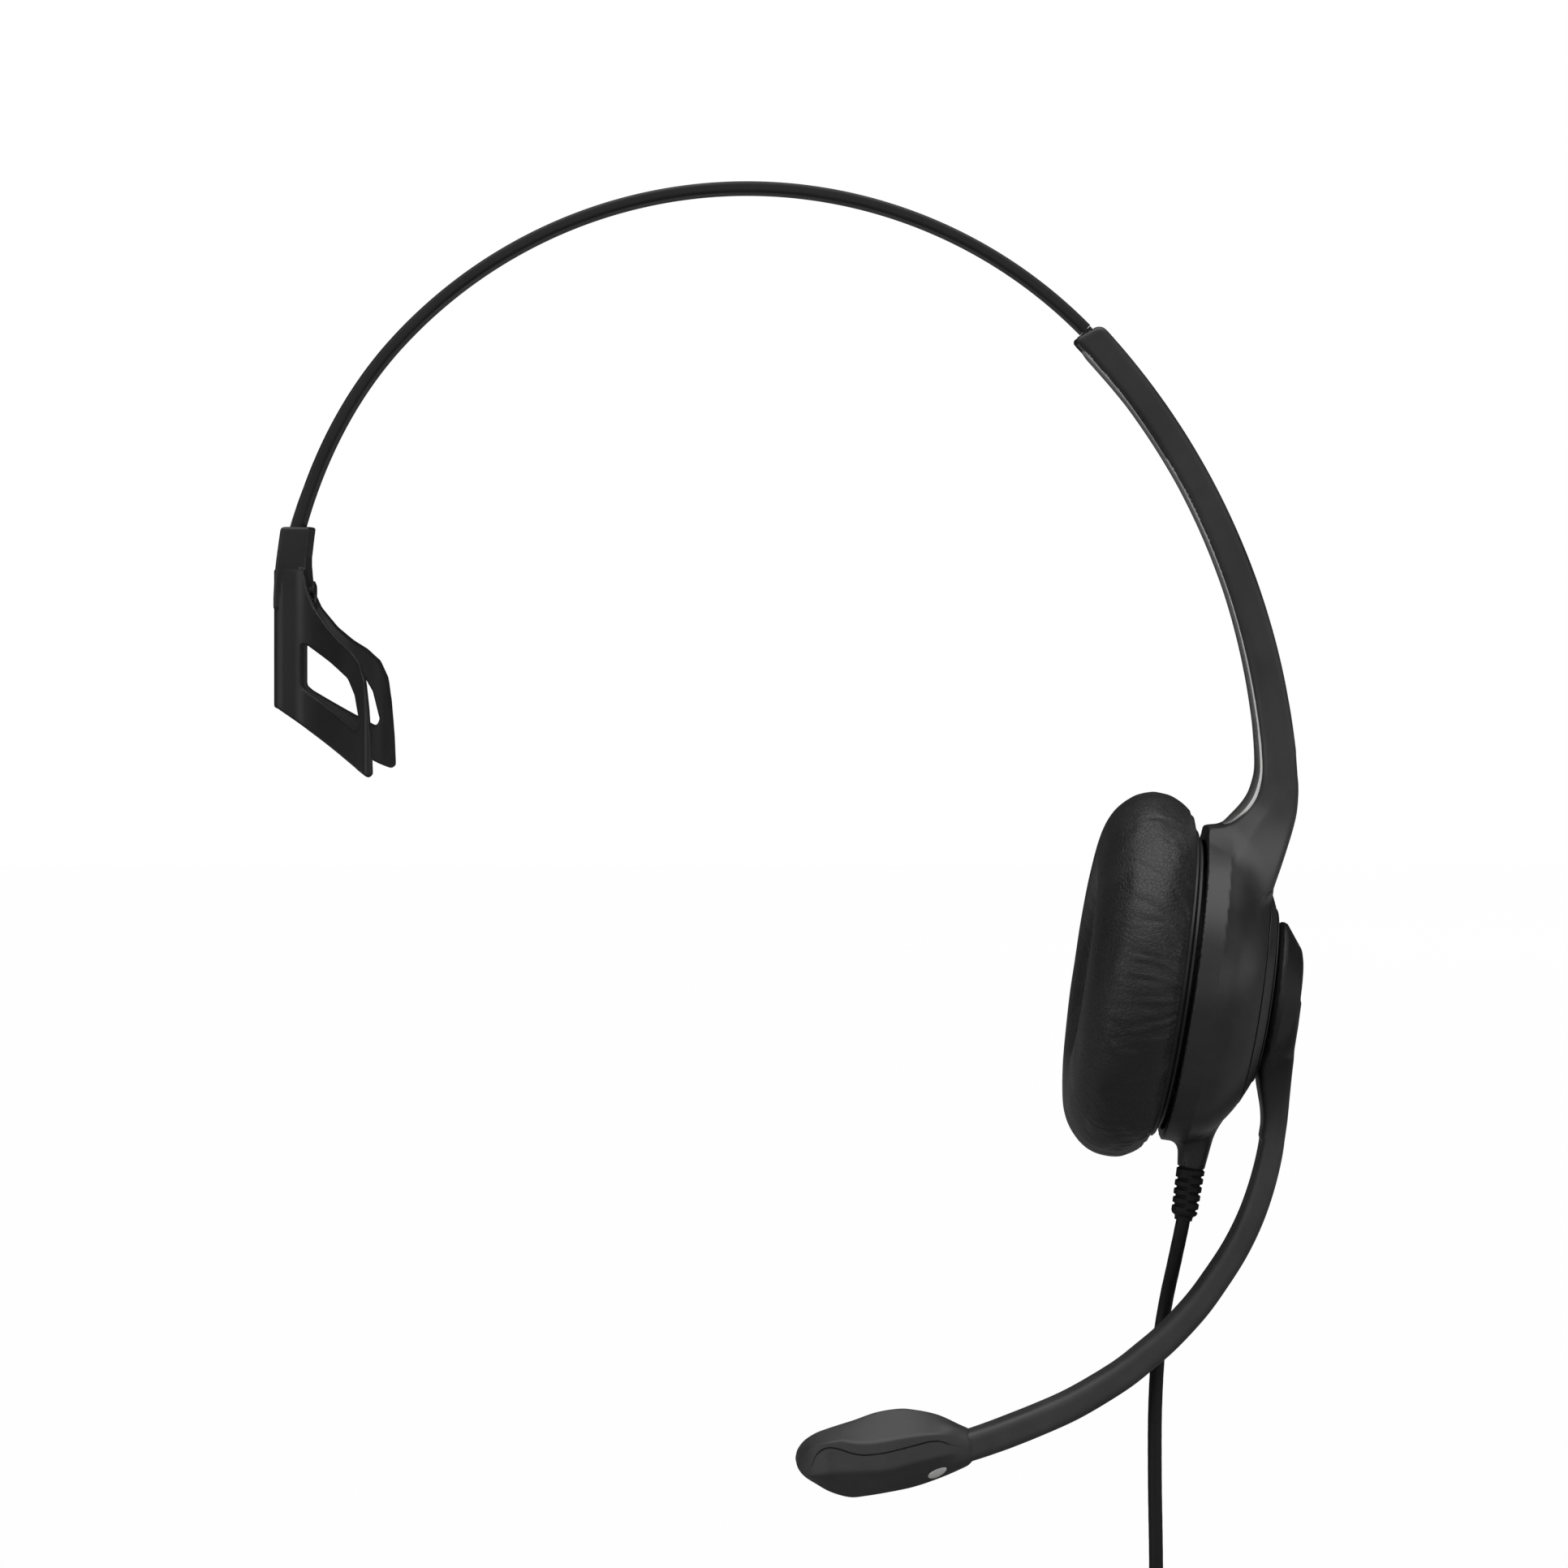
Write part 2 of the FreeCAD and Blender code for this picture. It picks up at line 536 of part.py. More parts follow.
# Limiter board and the parts on its outer face.
BOARD_FACE = 8.6
node(turned("limiter_board", ring_profile(7.6, BOARD_FACE, 0, "board_r")))
node(fuse("board_parts", [
    block("board_chip", (1.0, 6.0, 5.0), (BOARD_FACE, -3.0, 6.0), CUP),
    block("board_coil", (2.0, 5.0, 5.0), (BOARD_FACE, -12.0, -8.0), CUP),
    block("board_caps", (1.6, 4.0, 6.0), (BOARD_FACE, 6.0, -10.0), CUP)]))

# ================================================================ GIMBAL
# A ring pinned to the cup above and below, and to the baffle front and back.
THROUGH_HALF = 30.0     # drills right through the cup from one side to the other
node(fuse("gimbal_pins", [
    rod("gimbal_pin_up", "gpin_r", 5.7, CUP, ("gimbal_u", 0, 21.4), "z"),
    rod("gimbal_pin_dn", "gpin_r", 5.7, CUP, ("gimbal_u", 0, -21.4), "-z")]))
ring_blank = turned("ring_blank", ring_profile("gimbal_u-gimbal_half", "gimbal_u+gimbal_half",
                                               "gimbal_rin", "gimbal_rout"))
node(cut("gimbal_ring", ring_blank, [
    rod("ring_hole_z", "gpin_r+run", 2 * THROUGH_HALF, CUP, ("gimbal_u", 0, -THROUGH_HALF), "z"),
    rod("ring_hole_y", "gpin_r+run", 2 * THROUGH_HALF, CUP, ("gimbal_u", -THROUGH_HALF, 0),
        "y")]))
node(fuse("baffle_pins", [
    rod("baffle_pin_front", "gpin_r", 5.3, CUP, ("gimbal_u", -17.3, 0), "-y"),
    rod("baffle_pin_back", "gpin_r", 5.3, CUP, ("gimbal_u", 17.3, 0), "y")]))

# ================================================================ SPEAKER
STACK = shift(x=0.65)   # where the speaker stack sits along the cup axis

# Baffle disc with a can standing out from it into the cup.
BAFFLE_PROFILE = [(-0.95, 16.7), (-0.95, "baffle_r-0.3"), (-0.65, "baffle_r"),
                  (-0.25, "baffle_r"), (-0.05, "baffle_r-0.3"), (-0.05, "can_r"),
                  (5.6, "can_r"), (5.6, "can_r-1.2"), (0.3, "can_r-1.2"), (-0.05, 16.7)]
baffle_blank = turned("baffle_blank", BAFFLE_PROFILE, CUP, STACK)
node(cut("speaker_baffle", baffle_blank, [
    rod("baffle_hole", "gpin_r+0.02", 2 * THROUGH_HALF, CUP, ("gimbal_u", -THROUGH_HALF, 0),
        "y")]))

# Frame, yoke, magnet, coil and diaphragm of the driver, then the scrim disc
# and the ring on the baffle's head side.
SPEAKER_PIECES = [
    ("driver_frame", [(-0.9, 15.5), (-0.9, 16.5), (1.2, 16.5), (1.2, 7.75), (0.4, 7.75),
                      (0.4, 15.5)]),
    ("driver_yoke", [(1.25, 7.75), (1.25, 9.5), (5.8, 9.5), (5.8, 0), (4.9, 0), (4.9, 7.75)]),
    ("driver_magnet", ring_profile(1.5, 4.85, 0, 6.4)),
    ("voice_coil", ring_profile(-0.3, 3.2, 6.75, 7.35)),
    ("driver_diaphragm", [(-0.75, 0), (-0.55, 7.0), (-0.75, 11.0), (-0.55, 15.2),
                          (-0.35, 15.2), (-0.55, 11.0), (-0.35, 7.0), (-0.55, 0)]),
    ("acoustic_scrim", ring_profile(-1.5, -1.2, 0, 13.9)),
    ("cushion_ring", [(-1.95, 14.0), (-1.95, 26.9), (-1.7, 27.2), (-1.25, 27.2),
                      (-1.0, 26.9), (-1.0, 14.0)]),
]
for label, profile in SPEAKER_PIECES:
    node(turned(label, profile, CUP, STACK))

# ================================================================ EAR CUSHION
# Hollow skin filled by a foam ring.
CUSHION_SKIN = [("cushion_back", 9.8), ("cushion_back", 27.6), (-4.5, "cushion_r-1.2"),
                (-8.0, "cushion_r"), (-12.0, "cushion_r-0.7"), (-15.2, 28.9), (-16.7, 25.8),
                ("cushion_front", 22.6), ("cushion_front", 17.6), (-16.8, 15.2),
                (-15.2, 11.9), (-11.5, 9.7), (-6.0, 9.3)]
CUSHION_HOLLOW = [(-3.1, 11.0), (-3.1, 26.9), (-5.0, 30.0), (-8.0, 31.2), (-11.6, 30.4),
                  (-14.3, 28.0), (-15.7, 24.9), (-16.3, 22.3), (-16.3, 17.9), (-15.8, 15.8),
                  (-14.4, 12.9), (-11.3, 10.9), (-6.2, 10.5)]
FOAM_INSET = 0.096


def shrink(points, inset):
    """Move each point inwards by the inset in both directions, towards the mean point."""
    mean_u = sum(point[0] for point in points) / len(points)
    mean_r = sum(point[1] for point in points) / len(points)
    return [(u + (inset if u < mean_u else -inset), radius + (inset if radius < mean_r else -inset))
            for u, radius in points]


node(cut("ear_cushion", turned("cushion_outside", CUSHION_SKIN),
         [turned("cushion_hollow", CUSHION_HOLLOW)]))
node(turned("cushion_foam", shrink(CUSHION_HOLLOW, FOAM_INSET)))

# ================================================================ BOOM
# Centreline from the pivot down to the microphone: (x, z).
BOOM_LINE = [(93.8, -150.5), (93.3, -156.5), (92.9, -163.0), (92.0, -168.7), (90.6, -174.4),
             (88.6, -180.1), (85.8, -185.8), (82.1, -191.5), (79.4, -195.2), (76.4, -198.6),
             (73.2, -201.8), (69.9, -204.6), (66.8, -207.1), (63.5, -209.3), (57.1, -213.0),
             (50.6, -215.9), (44.2, -218.4), (39.9, -219.9), (38.35, -220.35)]
CHANNEL_END = (37.0, -220.7)    # runs the wire channel out of the boom's tip
CHANNEL_HALF = 0.75
WIRE_HALF = 0.6
# Head (along the cup axis, radius) and the neck below it (cup local x, z).
HEAD_PROFILE = [("head_u0", 0), ("head_u0", "head_r+0.3"), (16.8, "head_r+0.8"),
                (17.5, "head_r-0.9"), (19.8, 9.3), ("head_u1-0.2", 7.9), ("head_u1", 7.4),
                ("head_u1", 0)]
NECK_OUTLINE = [(16.6, -7.0), (16.6, -14.0), (16.9, -17.5), (17.5, -20.5), (21.9, -21.0),
                (21.8, -14.0), (21.05, -7.0)]
boom_bar = slab("boom_bar", strip(BOOM_LINE, value("boom_thick") / 2), "boom_wide")
head = turned("boom_head", HEAD_PROFILE)
neck = slab("boom_neck", NECK_OUTLINE, "boom_wide+1", CUP)
head_sink = rod("head_sink", 5.1, 3.0, CUP, (19.1, 0, 0), "x")
head_bore = rod("head_bore", 2.52, 8.0, CUP, (14.0, 0, 0), "x")
wire_channel = slab("wire_channel", strip(BOOM_LINE[1:-1] + [CHANNEL_END], CHANNEL_HALF),
                    2 * CHANNEL_HALF)
node(cut("boom_arm", fuse("boom_blank", [boom_bar, head, neck]),
         [head_sink, head_bore, wire_channel]))
node(slab("boom_wires", strip(BOOM_LINE[2:-1], WIRE_HALF), 2 * WIRE_HALF))

# Hollow flanged axle, the cap over it, its washers and its retaining clip.
node(turned("pivot_axle", [(10.2, 1.2), (10.2, "axle_r"), (19.12, "axle_r"), (19.12, 4.4),
                           (19.85, 4.4), (19.85, 1.2)]))
node(turned("boom_pivot_cap", [(19.95, 0), (19.95, 5.0), (20.8, 5.0), (21.05, 4.7), (21.2, 0)]))
node(turned("friction_washer", ring_profile(15.65, 16.0, "axle_r+0.02", 8.0)))
node(turned("wave_washer", ring_profile(12.15, 12.7, "axle_r+0.02", 4.6)))
node(turned("axle_clip", ring_profile(11.4, 12.1, "axle_r", 4.2)))

# ================================================================ MICROPHONE
# Hollow egg-shaped shell in two halves: (local x, half height).
MIC_STATIONS = [(-14.4, 1.5), (-13.2, 3.0), (-9.0, 5.2), (-4.7, 6.3), (-0.4, 6.8), (3.9, 6.7),
                (8.0, 5.9), (11.5, 4.6), (14.6, 3.2)]
MIC_SPLIT_Z = 3.4
MIC_SPLIT_HALF_GAP = 0.02
MIC_HALF_BOX = (40.0, 30.0, 15.0)
MARKER_SEAT = (9.9, -5.58, -0.7)
mic_outside = loft("mic_outside", [(x, half, half * 1.2) for x, half in MIC_STATIONS], MIC)
mic_inside = loft("mic_inside", [(x * 0.84, half * 0.76, half * 0.94)
                                 for x, half in MIC_STATIONS[1:-1]], MIC)
mic_shell = cut("mic_shell", mic_outside, [mic_inside])
half_up = block("mic_half_up", MIC_HALF_BOX,
                (-20.0, -15.0, MIC_SPLIT_Z + MIC_SPLIT_HALF_GAP), MIC)
half_dn = block("mic_half_dn", MIC_HALF_BOX,
                (-20.0, -15.0, MIC_SPLIT_Z - MIC_SPLIT_HALF_GAP - MIC_HALF_BOX[2]), MIC)
node(cut("mic_shell_upper", common("mic_up", mic_shell, half_up), [
    rod("mic_wire_hole", 1.0, 8.0, MIC, (9.0, 0, 0), "x"),
    rod("mic_port", 0.6, 8.0, MIC, (-6.0, 0, 3.0), "z")]))
node(cut("mic_shell_lower", common("mic_dn", mic_shell, half_dn), [
    rod("mic_wire_hole_b", 1.0, 8.0, MIC, (9.0, 0, 0), "x"),
    rod("marker_hole", 1.53, 4.0, MIC, MARKER_SEAT, "-y")]))

# Capsule in a ring-shaped boot, axes along the microphone's local z.
CAPSULE_SEAT = shift(x=-4.0, turn=Rotation(Y_AXIS, 90))
node(turned("mic_boot", ring_profile(-1.6, 1.6, 2.1, 3.6), MIC, CAPSULE_SEAT))
node(turned("mic_capsule", ring_profile(-1.3, 1.3, 0, 2.05), MIC, CAPSULE_SEAT))

# Round marker button in the lower shell, facing local -y.
node(turned("mic_marker", [(0, 0), (0, 1.5), (0.55, 1.5), (0.7, 1.2), (0.75, 0)], MIC,
            shift(*MARKER_SEAT, turn=Rotation(Z_AXIS, -90))))

# ================================================================ CABLE
# Straight through the strain relief, then a curve down to the plug: (x, y, z).
CABLE_POINTS = [(75.4, 2.1, -188.0), (74.1, 5.3, -195.5), (72.9, 6.5, -204.0),
                (72.3, 6.6, -214.0), (72.2, 6.3, -226.0), (72.4, 6.0, -242.0),
                (72.4, 6.0, -256.0)]
cable_start = CUP.multVec(Vector(value("relief_u"), 0, -24.45))
relief_exit = CUP.multVec(Vector(value("relief_u"), 0, -41.15))
cable_end = Vector(value("plug_x"), value("plug_y"), value("plug_z") - 5.0)
cup_down = CUP.Rotation.multVec(Vector(0, 0, -1))
curve = Part.BSplineCurve()
curve.interpolate(Points=[relief_exit] + [Vector(*point) for point in CABLE_POINTS] + [cable_end],
                  InitialTangent=cup_down, FinalTangent=Vector(0, 0, -1))
path = doc.addObject("Part::Feature", "cable_path")
path.Label = "cable_path"
path.Shape = Part.Wire([Part.LineSegment(cable_start, relief_exit).toShape(), curve.toShape()])
section = doc.addObject("Part::Circle", "cable_section")
section.Label = "cable_section"
bind(section, "Radius", "cable_r")
section.Placement = Placement(cable_start, Rotation(Z_AXIS, cup_down))
cable = doc.addObject("Part::Sweep", "cable_jacket")
cable.Sections = [section]
cable.Spine = (path, ["Edge1", "Edge2"])
cable.Solid = True
cable.Frenet = False
node(cable)

# ================================================================ PLUG
# Profiles are (radius, height below the boot top).
BOOT_RIBS = 4
BOOT_RIB_PITCH = 2
boot_profile = [("cable_r+0.02", 0.0), (2.1, 0.0), (2.3, -0.6)]
for i in range(BOOT_RIBS):
    z = -BOOT_RIB_PITCH * i
    growth = 0.1 * i
    boot_profile += [(2.3 + growth, z - 1.2), (1.95 + growth, z - 1.5),
                     (1.95 + growth, z - 2.2), (2.4 + growth, z - 2.5)]
boot_profile += [(2.7, -10.0), ("cable_r+0.02", -10.0)]

PLUG_PIECES = [
    ("plug_boot", boot_profile),
    ("plug_grip", [(0, -10.05), (3.3, -10.05), (3.8, -11.2), (3.8, -26.0), (3.4, -28.0),
                   (2.9, -28.0), (0, -28.0)]),
    ("plug_sleeve_contact", [(0, -28.0), ("plug_r+0.9", -28.0), ("plug_r+0.9", -28.6),
                             ("plug_r", -28.65), ("plug_r", -32.0), (0, -32.0)]),
]
# Plain bands between the sleeve contact and the tip: name, top, bottom.
PLUG_BANDS = [
    ("plug_insulator_rear", -32.0, -32.5),
    ("plug_ring_rear", -32.5, -35.0),
    ("plug_insulator_middle", -35.0, -35.5),
    ("plug_ring_front", -35.5, -38.0),
    ("plug_insulator_front", -38.0, -38.5),
]
for label, top, bottom in PLUG_BANDS:
    PLUG_PIECES.append((label, [(0, top), ("plug_r", top), ("plug_r", bottom), (0, bottom)]))
PLUG_PIECES.append(("plug_tip_contact", [
    (0, -38.5), ("plug_r", -38.5), (1.15, -39.4), (1.15, -39.8), (1.6, -40.8), (1.3, -41.6),
    (0.5, -42.3), (0, -42.3)]))
for label, profile in PLUG_PIECES:
    node(turned(label, profile, PLUG, upright=True))

# ---------------------------------------------------------------- checks and files
doc.recompute()
bad = []
for obj in doc.Objects:
    if any(state in ("Invalid", "Error") for state in obj.State):
        bad.append("%s (%s): %s" % (obj.Name, obj.Label, obj.State))
for name, obj in NODES.items():
    shape = obj.Shape
    if shape.isNull() or not shape.isValid() or not shape.Solids or shape.Volume <= 0:
        bad.append("%s: shape is null, invalid or empty" % name)
if bad:
    raise SystemExit("\n".join(bad))
os.makedirs("parts", exist_ok=True)
for name, obj in NODES.items():
    obj.Shape.exportStep("parts/%s.step" % name)
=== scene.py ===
"""Office headset with one ear cup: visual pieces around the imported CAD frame.

+Z is up, X runs across the head and the camera looks along +Y, so the front is -Y.
The headband arches in the XZ plane with the temple rest at -X. The arm, the cup, the cord
and the boom hang at +X, and the boom reaches back down to the microphone below the middle.
Lengths are millimetres in the shape code; meshes, the stage and the camera are in metres.
"""
import itertools
import json
import math
from functools import reduce

import bmesh
import bpy
import numpy as np
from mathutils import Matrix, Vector
from mathutils.bvhtree import BVHTree


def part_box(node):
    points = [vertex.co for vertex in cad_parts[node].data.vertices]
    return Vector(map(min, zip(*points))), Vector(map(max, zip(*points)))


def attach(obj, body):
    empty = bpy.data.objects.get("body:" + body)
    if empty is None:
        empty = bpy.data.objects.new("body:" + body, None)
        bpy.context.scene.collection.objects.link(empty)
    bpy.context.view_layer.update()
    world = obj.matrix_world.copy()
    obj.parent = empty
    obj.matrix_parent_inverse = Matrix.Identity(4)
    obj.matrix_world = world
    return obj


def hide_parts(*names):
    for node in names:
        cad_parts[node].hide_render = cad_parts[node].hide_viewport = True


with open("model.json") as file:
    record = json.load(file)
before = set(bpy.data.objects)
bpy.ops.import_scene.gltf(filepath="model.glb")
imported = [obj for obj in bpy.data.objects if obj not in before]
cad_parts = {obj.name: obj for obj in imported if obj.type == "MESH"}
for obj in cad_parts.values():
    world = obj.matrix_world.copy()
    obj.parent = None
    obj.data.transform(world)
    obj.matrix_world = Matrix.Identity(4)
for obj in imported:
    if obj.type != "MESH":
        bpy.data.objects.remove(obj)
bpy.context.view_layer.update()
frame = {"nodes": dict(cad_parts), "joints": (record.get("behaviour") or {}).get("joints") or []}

MM = 0.001
TURN = 2 * math.pi

JOINTS = {joint["name"]: joint for joint in frame["joints"]}
CUP = np.array(JOINTS["boom_swing"]["pos_m"], float) / MM
OUT = np.array(JOINTS["boom_swing"]["axis"], float)
OUT = OUT / np.linalg.norm(OUT)                        # outward along the cup axis
UP = np.array([-OUT[2], 0.0, OUT[0]])                  # up in the cup's own frame
SLIDE = np.array(JOINTS["band_slide"]["pos_m"], float) / MM
BAND_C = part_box("headband_sleeve")[1][2] / MM - 84.4   # height of the headband arc's centre


# ------------------------------------------------------------------ cup coordinates
def cup(out, y, rise):
    """Cup coordinates (outward, y, up) to world millimetres."""
    out, y, rise = np.broadcast_arrays(*(np.asarray(v, float) for v in (out, y, rise)))
    return np.stack([CUP[0] + out * OUT[0] + rise * UP[0], CUP[1] + y,
                     CUP[2] + out * OUT[2] + rise * UP[2]], -1)


def cup_xz(out, rise):
    """Cup coordinates to world (x, z) in the middle plane."""
    return (CUP[0] + out * OUT[0] + rise * UP[0], CUP[2] + out * OUT[2] + rise * UP[2])


def to_cup(x, y, z):
    dx, dz = x - CUP[0], z - CUP[2]
    return dx * OUT[0] + dz * OUT[2], y - CUP[1], dx * UP[0] + dz * UP[2]


# ------------------------------------------------------------------ numbers and curves
def ramp(value, start, width):
    """0 at start, 1 at start + width, straight between; a negative width runs downwards."""
    return np.clip((value - start) / width, 0, 1)


def ease(value, start, width):
    """Same as ramp, with soft ends."""
    t = ramp(value, start, width)
    return t * t * (3 - 2 * t)


def unit(vector):
    return vector / np.linalg.norm(vector)


def smooth_min(a, b, blend):
    h = np.clip(0.5 + 0.5 * (b - a) / blend, 0.0, 1.0)
    return b * (1 - h) + a * h - blend * h * (1 - h)


def smooth_max(a, b, blend):
    return -smooth_min(-a, -b, blend)


def overlap(*fields):
    """Distance field of what all the fields share."""
    return reduce(np.maximum, fields)


def cut(body, *fields):
    """Body less the overlap of the fields."""
    return np.maximum(body, -overlap(*fields))


def smooth_lookup(xs, ys, sigma):
    """Lookup through a few values (xs ascending), blurred by sigma."""
    grid = np.linspace(xs[0] - 4 * sigma, xs[-1] + 4 * sigma, 1200)
    step = grid[1] - grid[0]
    reach = max(1, int(3 * sigma / step))
    kernel = np.exp(-0.5 * (np.arange(-reach, reach + 1) * step / sigma) ** 2)
    kernel /= kernel.sum()
    values = np.pad(np.interp(grid, xs, ys), reach, mode="edge")
    values = np.convolve(values, kernel, mode="valid")
    return lambda query: np.interp(query, grid, values)


def running_length(points):
    steps = np.linalg.norm(np.diff(points, axis=0), axis=1)
    return np.concatenate([[0], np.cumsum(steps)])


def tangents(line):
    along = np.gradient(line, axis=0)
    return along / np.linalg.norm(along, axis=1, keepdims=True)


def spline(points, n, closed=False):
    """n evenly spaced points on a centripetal Catmull-Rom curve through the points."""
    p = np.asarray(points, float)
    if closed:
        padded = np.vstack([p[-1:], p, p[:2]])
    else:
        padded = np.vstack([2 * p[0] - p[1], p, 2 * p[-1] - p[-2]])

    def knot_gap(a, b):
        return max(np.linalg.norm(b - a), 1e-9) ** 0.5

    def mix(a, b, ta, tb):
        return (tb - t) / (tb - ta) * a + (t - ta) / (tb - ta) * b

    pieces = []
    for i in range(len(p) if closed else len(p) - 1):
        p0, p1, p2, p3 = padded[i:i + 4]
        t0 = 0.0
        t1 = t0 + knot_gap(p0, p1)
        t2 = t1 + knot_gap(p1, p2)
        t3 = t2 + knot_gap(p2, p3)
        t = np.linspace(t1, t2, 24, endpoint=False)[:, None]
        middle = mix(p1, p2, t1, t2)
        before = mix(mix(p0, p1, t0, t1), middle, t0, t2)
        after = mix(middle, mix(p2, p3, t2, t3), t1, t3)
        pieces.append(mix(before, after, t1, t2))
    curve = np.vstack(pieces + [p[:1] if closed else p[-1:]])
    length = running_length(curve)
    query = np.linspace(0, length[-1], n + 1 if closed else n)
    even = np.stack([np.interp(query, length, column) for column in curve.T], -1)
    return even[:-1] if closed else even


def round_corner(start, corner, end, steps=5):
    """Quadratic curve from start to end, pulled to the corner."""
    return [(1 - q) ** 2 * start + 2 * q * (1 - q) * corner + q ** 2 * end
            for q in (k / steps for k in range(steps + 1))]


def fillet(points, radius):
    """Closed outline with its corners rounded, by one radius or a list of them."""
    p = np.asarray(points, float)
    count = len(p)
    radii = radius if isinstance(radius, list) else [radius] * count
    outline = []
    for i, corner in enumerate(p):
        back, ahead = p[i - 1] - corner, p[(i + 1) % count] - corner
        back_length, ahead_length = np.linalg.norm(back), np.linalg.norm(ahead)
        back, ahead = back / back_length, ahead / ahead_length
        half = 0.5 * math.acos(max(-1.0, min(1.0, float(back @ ahead))))
        if radii[i] <= 0 or half > 1.55:               # sharp, or nearly straight
            outline.append(corner)
            continue
        t = min(radii[i] / math.tan(half), 0.45 * back_length, 0.45 * ahead_length)
        outline += round_corner(corner + back * t, corner, corner + ahead * t)
    return np.array(outline)


def arc(centre, radius, degrees):
    t = np.radians(degrees)
    return np.stack([centre[0] + radius * np.cos(t), centre[1] + radius * np.sin(t)], -1)


def outline_distance(px, py, points, closed):
    """Distance to the line through the points; negative inside when closed."""
    count = len(points)
    nearest = np.full(px.shape, 1e18)
    inside = np.zeros(px.shape, bool)
    for i in range(count if closed else count - 1):
        ax, ay = points[i]
        bx, by = points[(i + 1) % count]
        ex, ey = bx - ax, by - ay
        length2 = ex * ex + ey * ey
        if length2 < 1e-14:
            continue
        wx, wy = px - ax, py - ay
        t = np.clip((wx * ex + wy * ey) / length2, 0, 1)
        np.minimum(nearest, (wx - ex * t) ** 2 + (wy - ey * t) ** 2, out=nearest)
        if closed and ay != by:
            inside ^= ((ay <= py) != (by <= py)) & (px < ax + (py - ay) * ex / ey)
    distance = np.sqrt(nearest)
    return np.where(inside, -distance, distance) if closed else distance


class Flat:
    """Distance field of a flat outline, tabulated on a grid and interpolated."""

    def __init__(self, points, step=0.2, pad=5.0, closed=True, low=None, high=None):
        points = np.asarray(points, float)
        low = points.min(0) - pad if low is None else np.array(low, float)
        high = points.max(0) + pad if high is None else np.array(high, float)
        self.count = ((high - low) / step).astype(int) + 2
        axes = [low[a] + step * np.arange(self.count[a]) for a in (0, 1)]
        self.values = outline_distance(*np.meshgrid(*axes, indexing="ij"), points, closed)
        self.low, self.step = low, step

    def __call__(self, x, y):
        fx = np.clip((x - self.low[0]) / self.step, 0, self.count[0] - 1.001)
        fy = np.clip((y - self.low[1]) / self.step, 0, self.count[1] - 1.001)
        i, j = fx.astype(np.int64), fy.astype(np.int64)
        fx, fy = fx - i, fy - j
        v = self.values
        return ((v[i, j] * (1 - fx) + v[i + 1, j] * fx) * (1 - fy) +
                (v[i, j + 1] * (1 - fx) + v[i + 1, j + 1] * fx) * fy)


def noise1(x, seed, period):
    """Smooth value noise along one axis, repeating after a whole number of cells."""
    values = np.random.RandomState(seed).uniform(-1, 1, 4096)
    i = np.floor(x).astype(int)
    t = ease(x, i, 1)
    return values[i % period] * (1 - t) + values[(i + 1) % period] * t


def noise2(x, y, seed, period):
    """Smooth value noise over two axes, repeating along x."""
    values = np.random.RandomState(seed).uniform(-1, 1, (512, 512))
    i, j = np.floor(x).astype(int), np.floor(y).astype(int)
    s, t = ease(x, i, 1), ease(y, j, 1)
    i0, i1, j0, j1 = i % period, (i + 1) % period, j % 512, (j + 1) % 512
    return ((values[i0, j0] * (1 - s) + values[i1, j0] * s) * (1 - t) +
            (values[i0, j1] * (1 - s) + values[i1, j1] * s) * t)


# ------------------------------------------------------------------ meshing
def build(name, verts, faces, normals=None):
    """Smooth-shaded object from millimetre points."""
    mesh = bpy.data.meshes.new(name)
    points = np.asarray(verts, float) * MM
    mesh.from_pydata(points.tolist(), [], [tuple(int(i) for i in f) for f in faces])
    mesh.update()
    ob = bpy.data.objects.new(name, mesh)
    bpy.context.scene.collection.objects.link(ob)
    mesh.polygons.foreach_set("use_smooth", np.full(len(mesh.polygons), True))
    if normals is not None:
        mesh.normals_split_custom_set_from_vertices([tuple(n) for n in normals])
    return ob


BLOCK = 8                                              # grid points along a sampling block
CORNERS = list(itertools.product((0, 1), repeat=3))


def sample_field(field, low, blocks, cell):
    """Field values on the grid, worked out only in blocks near the surface."""
    ids = np.indices(blocks).reshape(3, -1).T
    centre = field(*(low + cell * (BLOCK * ids + (BLOCK - 1) / 2)).T).reshape(blocks)
    values = np.where(centre < 0, -9.0, 9.0).astype(np.float32)
    for axis in range(3):
        values = np.repeat(values, BLOCK, axis)
    near = np.argwhere(np.abs(centre) < (BLOCK + 2) * cell * 0.5 * 1.74 * 1.35)
    offsets = np.indices((BLOCK,) * 3).reshape(3, -1).T
    for start in range(0, len(near), 1500):            # in batches, to spare memory
        grid = near[start:start + 1500, None] * BLOCK + offsets
        grid = grid.reshape(-1, 3)
        values[tuple(grid.T)] = field(*(low + cell * grid).T)
    return values


def crossing_points(values, cells):
    """Mean crossing point on the edges of each cell, in cells from the grid's start."""
    total = np.zeros((len(cells), 3))
    count = np.zeros(len(cells))
    for corner in CORNERS:
        for axis in range(3):
            if corner[axis]:
                continue
            other = list(corner)
            other[axis] = 1
            va = values[tuple((cells + corner).T)]
            vb = values[tuple((cells + other).T)]
            crossed = (va < 0) != (vb < 0)
            t = np.where(crossed, va / np.where(crossed, va - vb, 1.0), 0.0)
            p = np.tile(np.array(corner, float), (len(cells), 1))
            p[:, axis] += t
            total[crossed] += p[crossed]
            count[crossed] += 1
    return cells + total / count[:, None]


